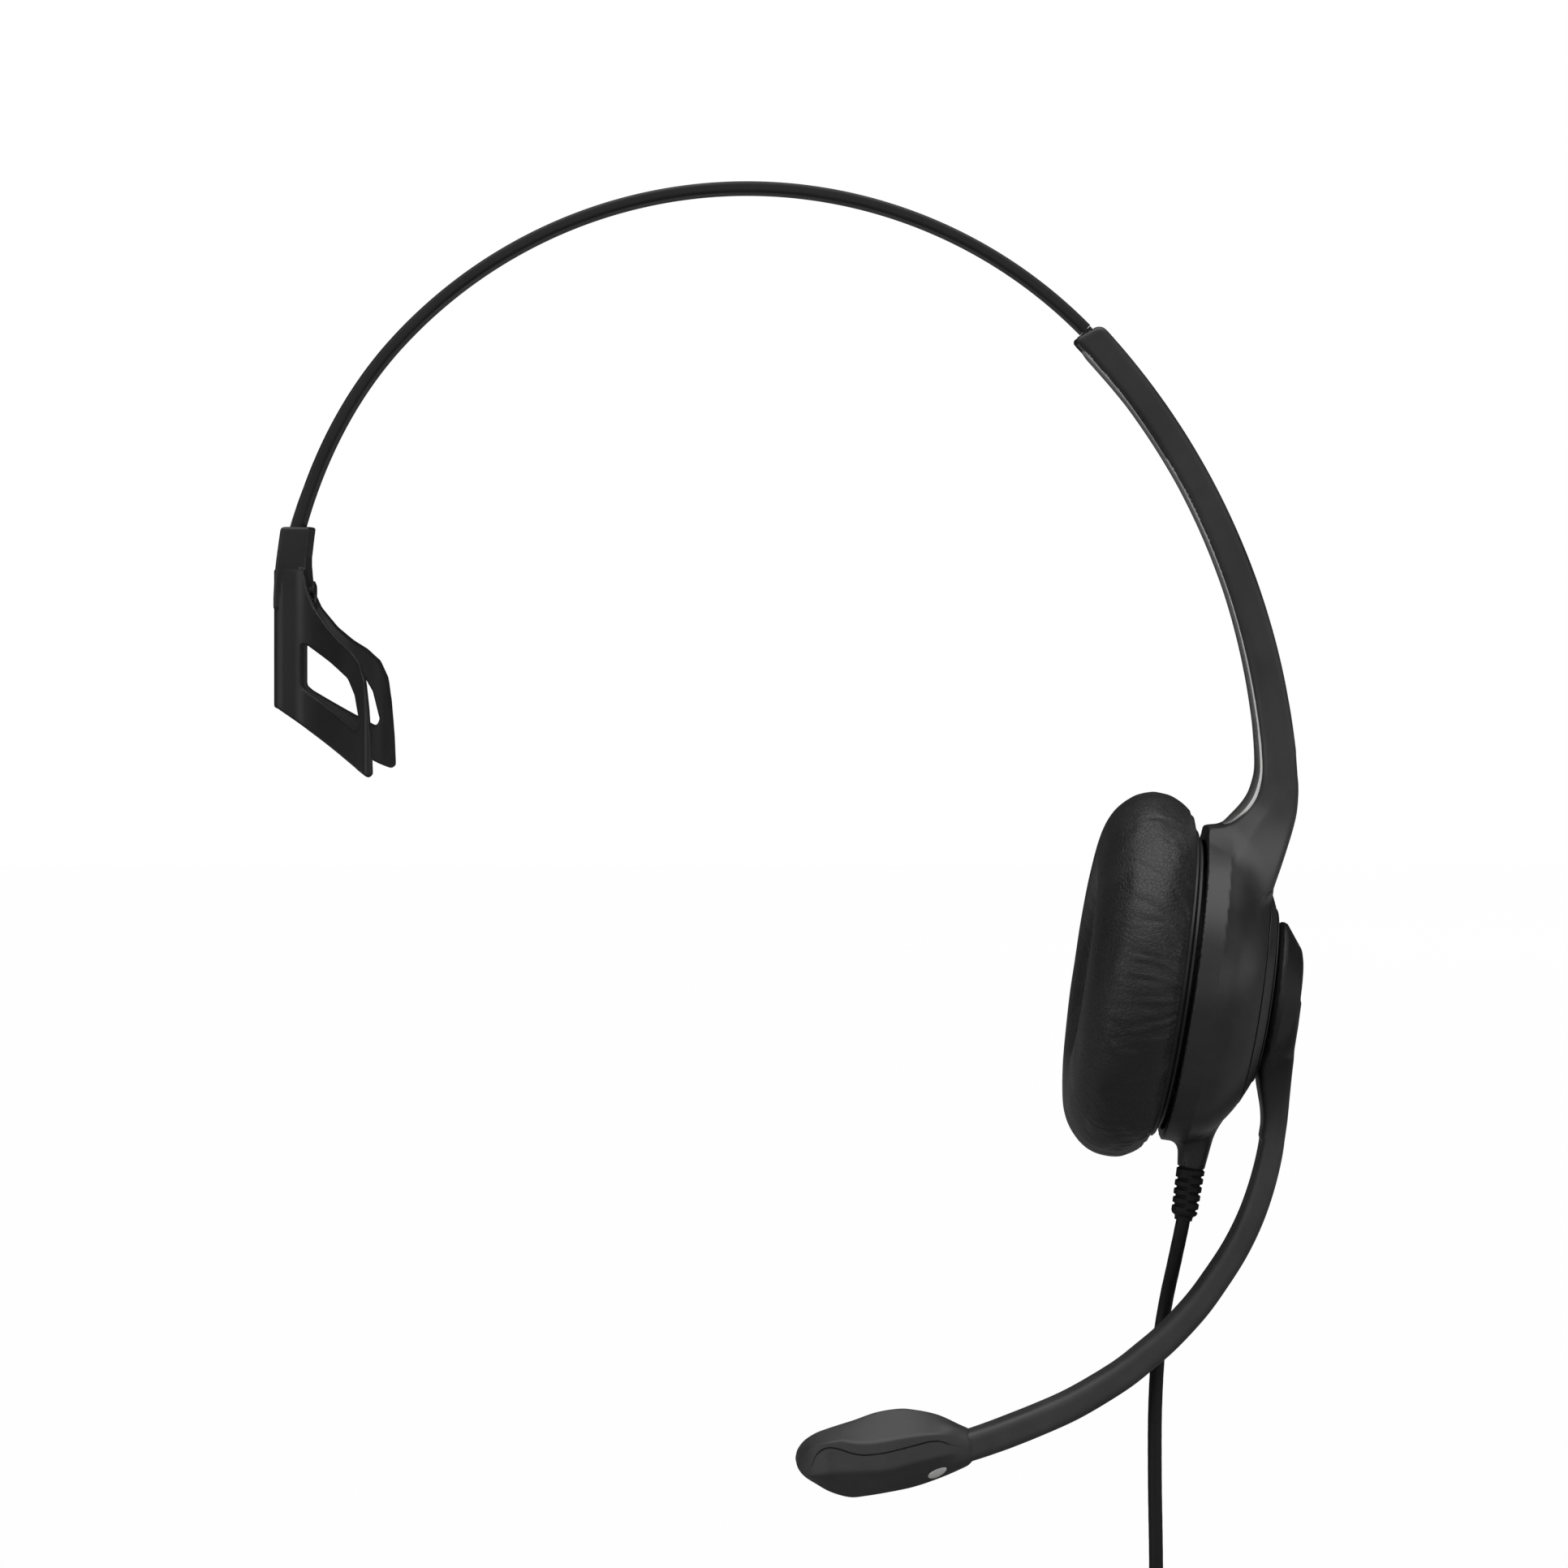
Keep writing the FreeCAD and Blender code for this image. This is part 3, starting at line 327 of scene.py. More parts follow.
def crossing_faces(negative, index):
    """One quad round every grid edge that crosses the surface."""
    size = negative.shape
    faces = []
    for axis in range(3):
        b, c = (axis + 1) % 3, (axis + 2) % 3
        first, second = [slice(None)] * 3, [slice(None)] * 3
        first[axis], second[axis] = slice(0, size[axis] - 1), slice(1, size[axis])
        edges = np.argwhere(negative[tuple(first)] != negative[tuple(second)])
        edges = edges[(edges[:, b] > 0) & (edges[:, c] > 0) &
                      (edges[:, b] < size[b] - 1) & (edges[:, c] < size[c] - 1)]
        quads = []
        for back_b, back_c in ((1, 1), (0, 1), (0, 0), (1, 0)):
            cell = edges.copy()
            cell[:, b] -= back_b
            cell[:, c] -= back_c
            quads.append(index[tuple(cell.T)])
        quads = np.stack(quads, -1)
        outside = ~negative[tuple(edges.T)]
        quads[outside] = quads[outside][:, ::-1]
        faces.append(quads)
    faces = np.vstack(faces)
    return faces[(faces >= 0).all(1)]


def gradient(field, points, reach=0.06):
    slopes = np.empty_like(points)
    for axis in range(3):
        before, after = points.copy(), points.copy()
        before[:, axis] -= reach
        after[:, axis] += reach
        slopes[:, axis] = (field(*after.T) - field(*before.T)) / (2 * reach)
    return slopes


def surface(name, field, low, high, cell):
    """Closed mesh of the surface field = 0 (negative inside), with the field's normals."""
    low = np.asarray(low, float)
    blocks = np.ceil((np.asarray(high, float) - low) / cell / BLOCK).astype(int)
    values = sample_field(field, low, blocks, cell)
    negative = values < 0
    inside = np.zeros(blocks * BLOCK - 1, np.int8)     # corners inside, for each cell
    for corner in CORNERS:
        inside += negative[tuple(slice(c, c + s) for c, s in zip(corner, inside.shape))]
    cells = np.argwhere((inside > 0) & (inside < 8))
    index = np.full(inside.shape, -1, np.int64)
    index[tuple(cells.T)] = np.arange(len(cells))
    verts = low + cell * crossing_points(values, cells)
    faces = crossing_faces(negative, index)
    for _ in range(3):                                 # pull the points onto the surface
        distance = field(*verts.T)
        slopes = gradient(field, verts)
        move = -(distance / np.maximum((slopes * slopes).sum(1), 0.15))[:, None] * slopes
        length = np.linalg.norm(move, axis=1, keepdims=True)
        verts = verts + move * np.minimum(1.0, 0.5 * cell / np.maximum(length, 1e-9))
    normals = gradient(field, verts)
    normals /= np.maximum(np.linalg.norm(normals, axis=1, keepdims=True), 1e-9)
    return build(name, verts, faces, normals)


def edit_mesh(ob, change):
    bm = bmesh.new()
    bm.from_mesh(ob.data)
    change(bm)
    bm.to_mesh(ob.data)
    bm.free()
    return ob


def grid_mesh(name, rings, closed=False):
    """Skin over a run of rings: closed on itself, or capped by a fan at either end."""
    rings = np.asarray(rings, float)
    count, n = rings.shape[:2]
    verts = rings.reshape(-1, 3)
    faces = []
    for i in range(count if closed else count - 1):
        i2 = (i + 1) % count
        for j in range(n):
            j2 = (j + 1) % n
            faces.append((i * n + j, i * n + j2, i2 * n + j2, i2 * n + j))
    if not closed:
        verts = np.vstack([verts, rings[0].mean(0), rings[-1].mean(0)])
        middle, last = count * n, (count - 1) * n
        faces += [(middle, (j + 1) % n, j) for j in range(n)]
        faces += [(middle + 1, last + j, last + (j + 1) % n) for j in range(n)]
    return edit_mesh(build(name, verts, faces),
                     lambda bm: bmesh.ops.recalc_face_normals(bm, faces=bm.faces))


def revolve(name, profile, n):
    """Closed (outward, radius) profile turned about the cup axis."""
    out, radius = np.asarray(profile, float).T
    angles = np.linspace(0, TURN, n, endpoint=False)
    rings = [cup(out, -radius * np.cos(a), radius * np.sin(a)) for a in angles]
    return grid_mesh(name, rings, closed=True)


def shade(ob, angle=35):
    """Smooth shading with crisp corners beyond the angle."""
    def mark(bm):
        for edge in bm.edges:
            if len(edge.link_faces) == 2:
                edge.smooth = edge.calc_face_angle(0.0) < math.radians(angle)
    return edit_mesh(ob, mark)


def ray_tree(points, mesh):
    """Ray-cast tree over the points, joined by the mesh's faces."""
    return BVHTree.FromPolygons([tuple(p) for p in points],
                                [tuple(face.vertices) for face in mesh.polygons])


# ------------------------------------------------------------------ materials
class Graph:
    """Adds and links the shader nodes of one material or world."""

    def __init__(self, owner):
        owner.use_nodes = True
        self.tree = owner.node_tree
        self.tree.nodes.clear()

    def add(self, kind, inputs=None, **settings):
        node = self.tree.nodes.new("ShaderNode" + kind)
        for key, value in settings.items():
            setattr(node, key, value)
        for key, value in (inputs or {}).items():
            if isinstance(value, bpy.types.NodeSocket):
                self.tree.links.new(value, node.inputs[key])
            else:
                node.inputs[key].default_value = value
        return node

    def remap(self, source, low, high, to_low, to_high, **settings):
        inputs = {"Value": source, "From Min": low, "From Max": high,
                  "To Min": to_low, "To Max": to_high}
        return self.add("MapRange", inputs, **settings).outputs[0]

    def noise(self, place, scale, detail, roughness=0.55):
        return self.add("TexNoise", {"Vector": place, "Scale": scale, "Detail": detail,
                                     "Roughness": roughness})


# Heights that drive the fine bump; the woven and foam ones have a fixed scale.
def grain_height(graph, place, grain):
    return graph.noise(place, grain, detail=3, roughness=0.6).outputs["Fac"]


def brushed_height(graph, place, grain):
    stretched = graph.add("Mapping", {"Vector": place, "Scale": (1, 40, 1)})
    return grain_height(graph, stretched.outputs[0], grain)


def leather_height(graph, place, grain):
    """Wavy cells with sunk borders, over a little fine grain."""
    fine = grain_height(graph, place, grain)
    warp = graph.noise(place, scale=500, detail=2).outputs["Color"]
    warp = graph.add("VectorMath", {0: warp, "Scale": 0.0007}, operation="SCALE")
    warped = graph.add("VectorMath", {0: place, 1: warp.outputs[0]}, operation="ADD")
    cells = graph.add("TexVoronoi", {"Vector": warped.outputs[0], "Scale": 1250.0},
                      feature="DISTANCE_TO_EDGE")
    borders = graph.remap(cells.outputs["Distance"], 0.0, 0.12, 0, 1)
    fine = graph.remap(fine, 0.3, 0.7, 0, 0.35)
    return graph.add("Math", {0: borders, 1: fine}, operation="ADD").outputs[0]


def weave_height(graph, place, _grain):
    """Two crossed sets of threads."""
    threads = {}
    for i, axis in enumerate("YZ"):
        wave = graph.add("TexWave", {"Vector": place, "Scale": 420.0, "Distortion": 0.6},
                         bands_direction=axis)
        threads[i] = wave.outputs["Fac"]
    return graph.add("Math", threads, operation="MAXIMUM").outputs[0]


def foam_height(graph, place, _grain):
    return graph.add("TexVoronoi", {"Vector": place, "Scale": 1400.0}).outputs["Distance"]


def material(name, base, rough, *, metal=0.0, spec=0.5, tone=0.25, tone_scale=90.0,
             height=grain_height, grain=900.0, bump=0.12, bump_depth=0.00004,
             rough_var=0.08, alpha=1.0, sheen=0.0, painted_height_shade=None, painted_grazing_shade=None):
    """Mottled base colour and roughness with a fine bump.

    tone is the colour swing, rough_var the roughness swing and tone_scale their noise scale.
    The height shade is (z in metres, z in metres, brightness at the first): painted shade,
    darker at the first.
    The grazing shade is the pair of facing values between which the colour darkens: painted
    shade.
    """
    made = bpy.data.materials.new(name)
    graph = Graph(made)
    place = graph.add("TexCoord").outputs["Object"]
    mottle = graph.noise(place, tone_scale, detail=4).outputs["Fac"]
    colour = np.array(base, float)
    colour = graph.add("Mix", {"Factor": graph.remap(mottle, 0.3, 0.7, 0, 1),
                               "A": (*np.clip(colour * (1 - tone), 0, 1), 1),
                               "B": (*np.clip(colour * (1 + tone), 0, 1), 1)},
                       data_type="RGBA").outputs["Result"]

    def dimmed(amount):
        return graph.add("VectorMath", {0: colour, "Scale": amount},
                         operation="SCALE").outputs[0]

    # painted shade: the colour darkens with height towards the first z
    if painted_height_shade:
        z_from, z_to, dark = painted_height_shade
        z = graph.add("SeparateXYZ", {0: place}).outputs["Z"]
        colour = dimmed(graph.remap(z, z_from, z_to, dark, 1.0))
    if painted_grazing_shade:                                        # painted shade: dark where the face turns away from the camera
        facing = graph.add("LayerWeight", {"Blend": 0.5}).outputs["Facing"]
        colour = dimmed(graph.remap(facing, *painted_grazing_shade, 1.0, 0.03))
    roughness = graph.remap(mottle, 0.3, 0.7, rough - rough_var, rough + rough_var)
    wavy = graph.noise(place, scale=70, detail=2).outputs["Fac"]      # faint broad waviness
    wavy = graph.add("Bump", {"Height": wavy, "Strength": 0.15, "Distance": 0.00012})
    relief = graph.add("Bump", {"Height": height(graph, place, grain), "Strength": bump,
                                "Distance": bump_depth, "Normal": wavy.outputs[0]})
    inputs = {"Base Color": colour, "Roughness": roughness, "Metallic": metal,
              "Specular IOR Level": spec, "Coat Roughness": 0.1, "Alpha": alpha,
              "Normal": relief.outputs[0]}
    if sheen:
        inputs |= {"Sheen Weight": sheen, "Sheen Roughness": 0.4}
    shader = graph.add("BsdfPrincipled", inputs)
    graph.add("OutputMaterial", {0: shader.outputs[0]})
    return made


MATERIALS = {
    "shell": material("satin_black_shell", base=(0.036, 0.036, 0.037), rough=0.35,
                      grain=1500, bump=0.16, bump_depth=0.00002),
    "band": material("band_sleeve_plastic", base=(0.016, 0.016, 0.017), rough=0.5, spec=0.45,
                     grain=1100, bump=0.5, bump_depth=0.00005),
    "rest": material("temple_rest_plastic", base=(0.017, 0.017, 0.018), rough=0.42,
                     grain=1500, bump=0.2, bump_depth=0.00002),
    "boom": material("boom_flexible_plastic", base=(0.056, 0.056, 0.057), rough=0.46,
                     painted_height_shade=(-0.149, -0.168, 0.22),      # painted shade: darker towards the pivot, below the cup
                     grain=1300, bump=0.25, bump_depth=0.00003),
    "mic": material("mic_satin_plastic", base=(0.050, 0.050, 0.051), rough=0.46,
                    grain=1500, bump=0.25, bump_depth=0.00003),
    # painted shade darkens the trim's colour along its grazing edges
    "trim": material("polished_trim", base=(0.90, 0.90, 0.89), rough=0.24, metal=0.05,
                     painted_grazing_shade=(0.72, 0.95), tone=0.04, height=brushed_height, grain=1600,
                     bump=0.05, bump_depth=0.00001, rough_var=0.04),
    "spring": material("spring_steel", base=(0.45, 0.45, 0.44), rough=0.32, metal=1.0,
                       tone=0.1, height=brushed_height),
    "steel": material("plain_steel", base=(0.5, 0.5, 0.5), rough=0.3, metal=1.0, tone=0.1),
    "leather": material("black_leatherette", base=(0.022, 0.021, 0.021), rough=0.38,
                        tone=0.16, tone_scale=140, height=leather_height, grain=2400,
                        bump=0.55, bump_depth=0.00007, rough_var=0.07, sheen=0.03),
    # kept in the set, worn by no piece
    "foam": material("open_foam", base=(0.05, 0.05, 0.05), rough=0.9, height=foam_height,
                     bump=0.8, bump_depth=0.0002),
    "scrim": material("speaker_scrim_cloth", base=(0.02, 0.02, 0.021), rough=0.85,
                      height=weave_height, bump=0.9, bump_depth=0.0001, sheen=0.3),
    "rubber": material("relief_rubber", base=(0.012, 0.012, 0.012), rough=0.6, spec=0.3,
                       grain=1800, bump=0.45),
    "cable": material("cord_jacket_rubber", base=(0.010, 0.010, 0.010), rough=0.5, spec=0.35,
                      grain=1200, bump=0.4),
    "inner": material("inner_plastic", base=(0.016, 0.016, 0.017), rough=0.55, spec=0.4,
                      grain=1300, bump=0.4),
    "slippery": material("low_friction_plastic", base=(0.55, 0.55, 0.52), rough=0.45,
                         tone=0.08),
    "magnet": material("magnet_grey", base=(0.22, 0.22, 0.23), rough=0.5, metal=0.6),
    "copper": material("copper_wire", base=(0.72, 0.32, 0.15), rough=0.35, metal=1.0,
                       tone=0.15, height=brushed_height),
    "film": material("diaphragm_film", base=(0.55, 0.53, 0.48), rough=0.25, tone=0.06,
                     alpha=0.85),
    "board": material("board_green", base=(0.02, 0.12, 0.05), rough=0.5, tone=0.3,
                      tone_scale=300),
    "marker": material("marker_silver", base=(0.80, 0.80, 0.79), rough=0.3, metal=0.35,
                       tone=0.04, grain=1500, bump=0.1),
    "gold": material("contact_gold", base=(0.83, 0.60, 0.24), rough=0.2, metal=1.0,
                     tone=0.06, bump=0.05),
    "ring": material("insulator_black", base=(0.02, 0.02, 0.02), rough=0.4, tone=0.2),
    "cap": material("cap_satin_black", base=(0.014, 0.014, 0.015), rough=0.36,
                    grain=1500, bump=0.3, bump_depth=0.00003),
}


def fit(ob, finish, slot, part, *replaced):
    """Give a piece its finish, the part it rides on and the CAD nodes it stands for."""
    ob.data.materials.clear()
    ob.data.materials.append(MATERIALS[finish])
    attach(ob, part)
    if replaced:
        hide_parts(*replaced)


# ------------------------------------------------------------------ headband
BAND_WIDTH, BAND_THICK, BAND_CORNER = 9.0, 2.0, 0.62
BAND_RADIUS = 83.4
BAND_ENDS = (44.5, 167.2)                              # degrees from +X, turning over the top
BAND_TUCK = 1.05                                       # the band draws in towards the socket
BAND_CROWN = 0.05


def band_section(steps=7):
    """Rounded rectangle as (outward, y)."""
    side, rim = BAND_THICK / 2 - BAND_CORNER, BAND_WIDTH / 2 - BAND_CORNER
    corners = ((side, rim, 0), (-side, rim, 90), (-side, -rim, 180), (side, -rim, 270))
    return np.vstack([arc((out, y), BAND_CORNER, start + 90 * np.arange(steps + 1) / steps)
                      for out, y, start in corners])


def make_headband():
    out, y = band_section().T
    crown = BAND_CROWN * (1 - (2 * y / BAND_WIDTH) ** 2)
    rings = []
    for degrees in np.linspace(*BAND_ENDS, 260):
        a = math.radians(degrees)
        radius = (BAND_RADIUS - BAND_TUCK * ease(degrees, 138.0, 30.0) + out +
                  np.where(out > 0, crown, -crown))
        rings.append(np.stack([radius * math.cos(a), y, BAND_C + radius * math.sin(a)], -1))
    band = shade(grid_mesh("headband_sleeve_skin", rings))
    fit(band, "band", "band_plastic", "headband", "headband_sleeve")


# ------------------------------------------------------------------ temple rest
# (x, z) side view of the rest, of the opening in its wings, and of the socket block
REST_SIDE = Flat(fillet([
    (-84.6, -66.0), (-77.4, -66.0), (-77.1, -67.6), (-76.7, -69.8), (-75.5, -72.7),
    (-72.9, -76.2), (-70.5, -78.5), (-68.2, -80.2), (-66.3, -82.3), (-65.1, -85.5),
    (-64.5, -90.0), (-64.0, -96.0), (-63.75, -101.2), (-64.4, -101.9), (-66.5, -100.8),
    (-69.6, -98.8), (-76.5, -94.3), (-82.2, -90.4), (-84.6, -89.9)],
    [0, 0, 3, 3, 3, 3, 3, 2, 2, 3, 3, 3, 0.6, 0.6, 1, 3, 3, 2, 0]), step=0.15)
REST_WINDOW = Flat(fillet([
    (-77.9, -79.15), (-76.9, -79.3), (-72.4, -82.25), (-68.8, -85.0), (-67.4, -87.8),
    (-66.3, -92.8), (-66.8, -94.1), (-76.9, -87.4), (-77.9, -86.5)],
    [0.5, 0.8, 3, 2, 2, 0.7, 0.7, 1.4, 1.2]), step=0.15)
REST_SOCKET = Flat(fillet([
    (-81.6, -58.6), (-82.35, -64.0), (-82.75, -67.5), (-82.92, -71.0), (-82.92, -76.5),
    (-77.4, -76.5), (-76.2, -73.6), (-77.0, -69.5), (-77.0, -64.0), (-76.4, -58.9),
    (-76.5, -58.6)],
    [0.8, 3, 3, 2, 1, 1, 1.5, 4, 4, 0.25, 0.25]), step=0.15)
# (x, y) middle line of the wing plate seen from above, for y >= 0
REST_HALF = [
    (-82.18, 0.0), (-82.18, 3.6), (-82.0, 4.5), (-81.3, 5.05), (-80.2, 5.15), (-78.9, 5.2),
    (-77.6, 5.65), (-76.0, 6.95), (-74.2, 8.95), (-72.0, 12.0), (-70.0, 15.4),
    (-68.0, 19.3), (-66.1, 23.4), (-64.5, 27.35)]
REST_PLAN = Flat(spline([(x, -y) for x, y in REST_HALF[::-1]] + REST_HALF[1:], 130),
                 step=0.12, pad=6, closed=False)
WING_HALF_THICK, WING_RIM = 0.74, 0.30                 # the rim thickens each wing's free end
SOCKET_HALF_WIDTH, SOCKET_TAPER = 5.90, 0.30           # the block narrows downwards


def rest_field(x, y, z):
    abs_y = np.abs(y)
    side = smooth_max(REST_SIDE(x, z), -REST_WINDOW(x, z), 0.25)
    rim = WING_RIM * ease(x, -67.6, 2.2)
    plate = smooth_max(REST_PLAN(x, y) - WING_HALF_THICK - rim, side, 0.4)
    taper = SOCKET_TAPER * ease(z, -64.5, -8.0)
    block = smooth_max(REST_SOCKET(x, z), abs_y - (SOCKET_HALF_WIDTH - taper), 0.7)
    block = smooth_max(block, -73.2 - z, 0.6)          # flat underside
    hollow = overlap(-81.2 - x, abs_y - 4.3, z + 71.5)
    block = smooth_max(block, -hollow, 0.5)
    body = smooth_min(plate, block, 0.04 + 0.9 * ease(x, -78.0, 1.4))
    body = np.maximum(body, -83.0 - x)                 # flat face at -X
    band_slot = np.abs(np.hypot(x, z - BAND_C) - 82.45) - 1.05
    return cut(body, band_slot, abs_y - 4.55, -(z + 64.2))


def make_temple_rest():
    rest = surface("temple_rest_body", rest_field, (-85.5, -30, -105), (-60, 30, -56), 0.36)
    fit(rest, "rest", "rest_plastic", "headband", "temple_rest", "temple_socket")


# ------------------------------------------------------------------ arm shell
# Arm outline in (x, z): two arcs about different centres, joined at the low and high ends.
ARM_OUTER = arc((-32.3, -111.06), 129.05, np.linspace(43.0, 5.6, 60))
INNER_DEGREES = np.linspace(5.2, 43.0, 60)
ARM_INNER = arc((-32.62, -109.34), np.interp(
    INNER_DEGREES, [5.2, 10, 18, 28, 36, 39.5, 43],
    [123.1, 123.2, 123.4, 123.35, 123.1, 122.8, 122.64]), INNER_DEGREES)
ARM_LOW_OUTER = spline([
    ARM_OUTER[-2], (96.25, -101.5), (96.4, -104.5), (96.0, -108.6), (95.25, -111.4),
    (94.2, -114.4), (93.1, -117.3), (91.95, -120.2), (91.2, -122.0)], 50)[2:]
ARM_LOW_INNER = np.vstack([
    [(86.0, -124.0), (82.5, -121.0), (79.4, -116.0)],
    spline([(79.2, -112.75), (80.7, -111.9), (81.9, -111.45), (83.2, -111.15),
            (84.7, -110.4), (86.3, -109.1), (87.6, -107.7), (88.8, -105.8), (89.5, -103.8),
            (89.95, -101.2), ARM_INNER[1]], 60)[:-1]])


def arm_top_end():
    """The two rounded corners of the arm's upper end."""
    inner, outer = ARM_INNER[-1], ARM_OUTER[0]
    across = outer - inner
    return (round_corner(ARM_INNER[-2], inner, inner + 0.22 * across, steps=4) +
            round_corner(inner + 0.72 * across, outer, ARM_OUTER[1], steps=4))


ARM_SIDE = Flat(np.vstack([ARM_OUTER[2:], ARM_LOW_OUTER, ARM_LOW_INNER, ARM_INNER[1:-2],
                           arm_top_end()]), pad=6)
# half width in y by height z
arm_half_width = smooth_lookup(
    [-130, -124, -120, -117, -114, -111, -108, -103, -97, -88, -60, -20],
    [16.0, 15.6, 14.4, 12.9, 11.3, 9.9, 8.9, 7.7, 6.9, 6.3, 5.6, 5.5], 1.6)
# Crease down the arm in (x, z); outward of it the sides lean in by the slope at that height.
CREASE_LINE = spline([
    (84.6, -62.0), (85.9, -70.0), (89.5, -80.7), (91.9, -94.3), (92.4, -103.0),
    (91.2, -107.6), (88.3, -111.4), (85.4, -116.2), (84.0, -121.2), (83.6, -128.0),
    (82.0, -140.0)], 80)
CREASE = Flat(np.vstack([[(77.0, -40.0)], CREASE_LINE, [(140.0, -140.0), (140.0, -40.0)]]),
              step=0.25, low=(60, -150), high=(112, -20))
crease_slope = smooth_lookup([-145, -124, -116, -110, -103, -94, -80, -66, -20],
                             [0.9, 0.9, 0.62, 0.40, 0.36, 0.28, 0.17, 0.0, 0.0], 2.0)

# Cup bowl and its hollow as (outward, radius)
BOWL_BACK, BOWL_FRONT, BOWL_RADIUS = 1.05, 13.3, 27.6
DOME = spline([(5.0, BOWL_RADIUS), (8.2, 25.95), (11.1, 23.0), (13.3, 19.75), (14.7, 16.9)],
              60)
BOWL = Flat(np.vstack([
    fillet([(BOWL_BACK, -6), (BOWL_BACK, BOWL_RADIUS), (4.6, BOWL_RADIUS)], [0, 0.2, 0]),
    DOME[DOME[:, 0] <= BOWL_FRONT], [(BOWL_FRONT, -6)]]), step=0.12, pad=7)
CAVITY = Flat([(0.0, -6), (0.0, 25.7), (5.0, 25.7), (8.0, 23.7), (10.3, 20.9), (12.2, 16.6),
               (12.4, 14.0), (12.4, -6)], step=0.15, pad=7)
BOSS_OUT = 7.25                                        # axis of the cord boss below the bowl


def arm_bar(x, y, z):
    inside = CREASE(x, z)
    beyond = 0.5 * (inside + np.sqrt(inside * inside + 0.10))
    half_width = arm_half_width(z) - crease_slope(z) * beyond
    return smooth_max(ARM_SIDE(x, z), np.abs(y) - half_width, 1.15)


def arm_field(x, y, z):
    abs_y = np.abs(y)
    out, _, rise = to_cup(x, y, z)
    radius = np.hypot(rise, y)
    from_boss = np.hypot(out - BOSS_OUT, y)
    boss = (from_boss - (3.45 - 1.05 * ramp(rise, -23.35, -8.5))) * 0.98
    boss = smooth_max(boss, -31.85 - rise, 0.25)
    boss = np.maximum(boss, rise + 16)
    body = smooth_min(BOWL(out, radius), boss, 2.0)
    body = smooth_min(body, arm_bar(x, y, z), 2.8)
    # flat back, up to where the arm rises past the bowl
    body = np.maximum(body, np.minimum(BOWL_BACK - out, 36.0 - rise))
    body = cut(body, 13.27 - out, radius - 19.72)      # seat of the crown ring
    body = cut(body, CAVITY(out, radius))
    body = cut(body, radius - 4.9, 11.0 - out)         # pivot hole
    body = cut(body, from_boss - 1.95, rise + 15)      # bore through the boss
    # two curved channels up the arm, a thin one and a wider one that starts lower
    track = np.hypot(x - SLIDE[0], z - SLIDE[2])
    angle = np.arctan2(z - SLIDE[2], x - SLIDE[0])
    width = abs_y - 4.62
    thin = overlap(np.abs(track - 125.9) - 1.12, width, (math.radians(21.8) - angle) * 125.9)
    wide = overlap(track - 124.8, 121.0 - track, width, (math.radians(10.0) - angle) * 124.0)
    return cut(body, np.minimum(thin, wide))


def make_cup_arm():
    shell = surface("cup_arm_shell", arm_field, (44, -31, -174), (100, 31, -19), 0.42)
    fit(shell, "shell", "shell_plastic", "arm", "arm_housing")
    crown = revolve("cup_crown_ring", fillet(
        [(13.36, 5.0), (13.36, 19.45), (13.5, 19.5), (14.7, 16.95), (15.1, 16.0),
         (15.2, 15.6), (15.2, 5.0)], [0, 0.1, 0.12, 1.0, 0.4, 0.2, 0]), 220)
    fit(shade(crown), "shell", "shell_plastic", "arm")
    cap = revolve("outer_cap_ring", fillet(
        [(15.26, 4.0), (15.26, 15.2), (15.36, 15.4), (15.5, 15.4), (15.6, 15.2),
         (15.6, 4.0)], [0, 0.08, 0.06, 0.06, 0.08, 0]), 220)
    fit(shade(cap), "cap", "shell_plastic", "arm", "outer_cap")


# ------------------------------------------------------------------ trim strip
TRIM_BACK = -0.3                                       # the strip's back, inside the shell
TRIM_LOW_END = [(89.95, -101.4), (89.5, -103.8), (88.8, -105.8), (87.6, -107.7),
                (86.3, -109.1), (84.7, -110.4), (83.3, -111.1)]
# by height z: half width in y, and how far the face stands off the line
trim_half_width = smooth_lookup([-116, -111, -108, -103, -97, -88, -60, -20],
                                [7.6, 8.0, 7.6, 6.5, 5.75, 5.2, 4.55, 4.4], 1.5)
trim_rise = smooth_lookup([-118, -110, -106.5, -97, -60, -35],
                          [0.42, 0.36, 0.26, 0.18, 0.14, 0.12], 1.2)


def trim_section(half, rise):
    """(y, height) ring: straight edges, rounded corners and a slightly crowned face."""
    corner = min(0.25, 0.6 * rise)
    face = half - corner
    points = [(half, TRIM_BACK + (rise - corner - TRIM_BACK) * k / 5) for k in range(5)]
    for k in range(7):
        a = math.pi / 2 * k / 6
        points.append((face + corner * math.cos(a), rise - corner + corner * math.sin(a)))
    for k in range(1, 12):
        y = face * (1 - 2 * k / 12)
        points.append((y, rise + 0.10 * (1 - (y / max(half, 0.01)) ** 2)))
    points += [(-y, height) for y, height in points[11::-1]]
    points += [(-half + 2 * half * k / 12, TRIM_BACK) for k in range(1, 12)]
    return points


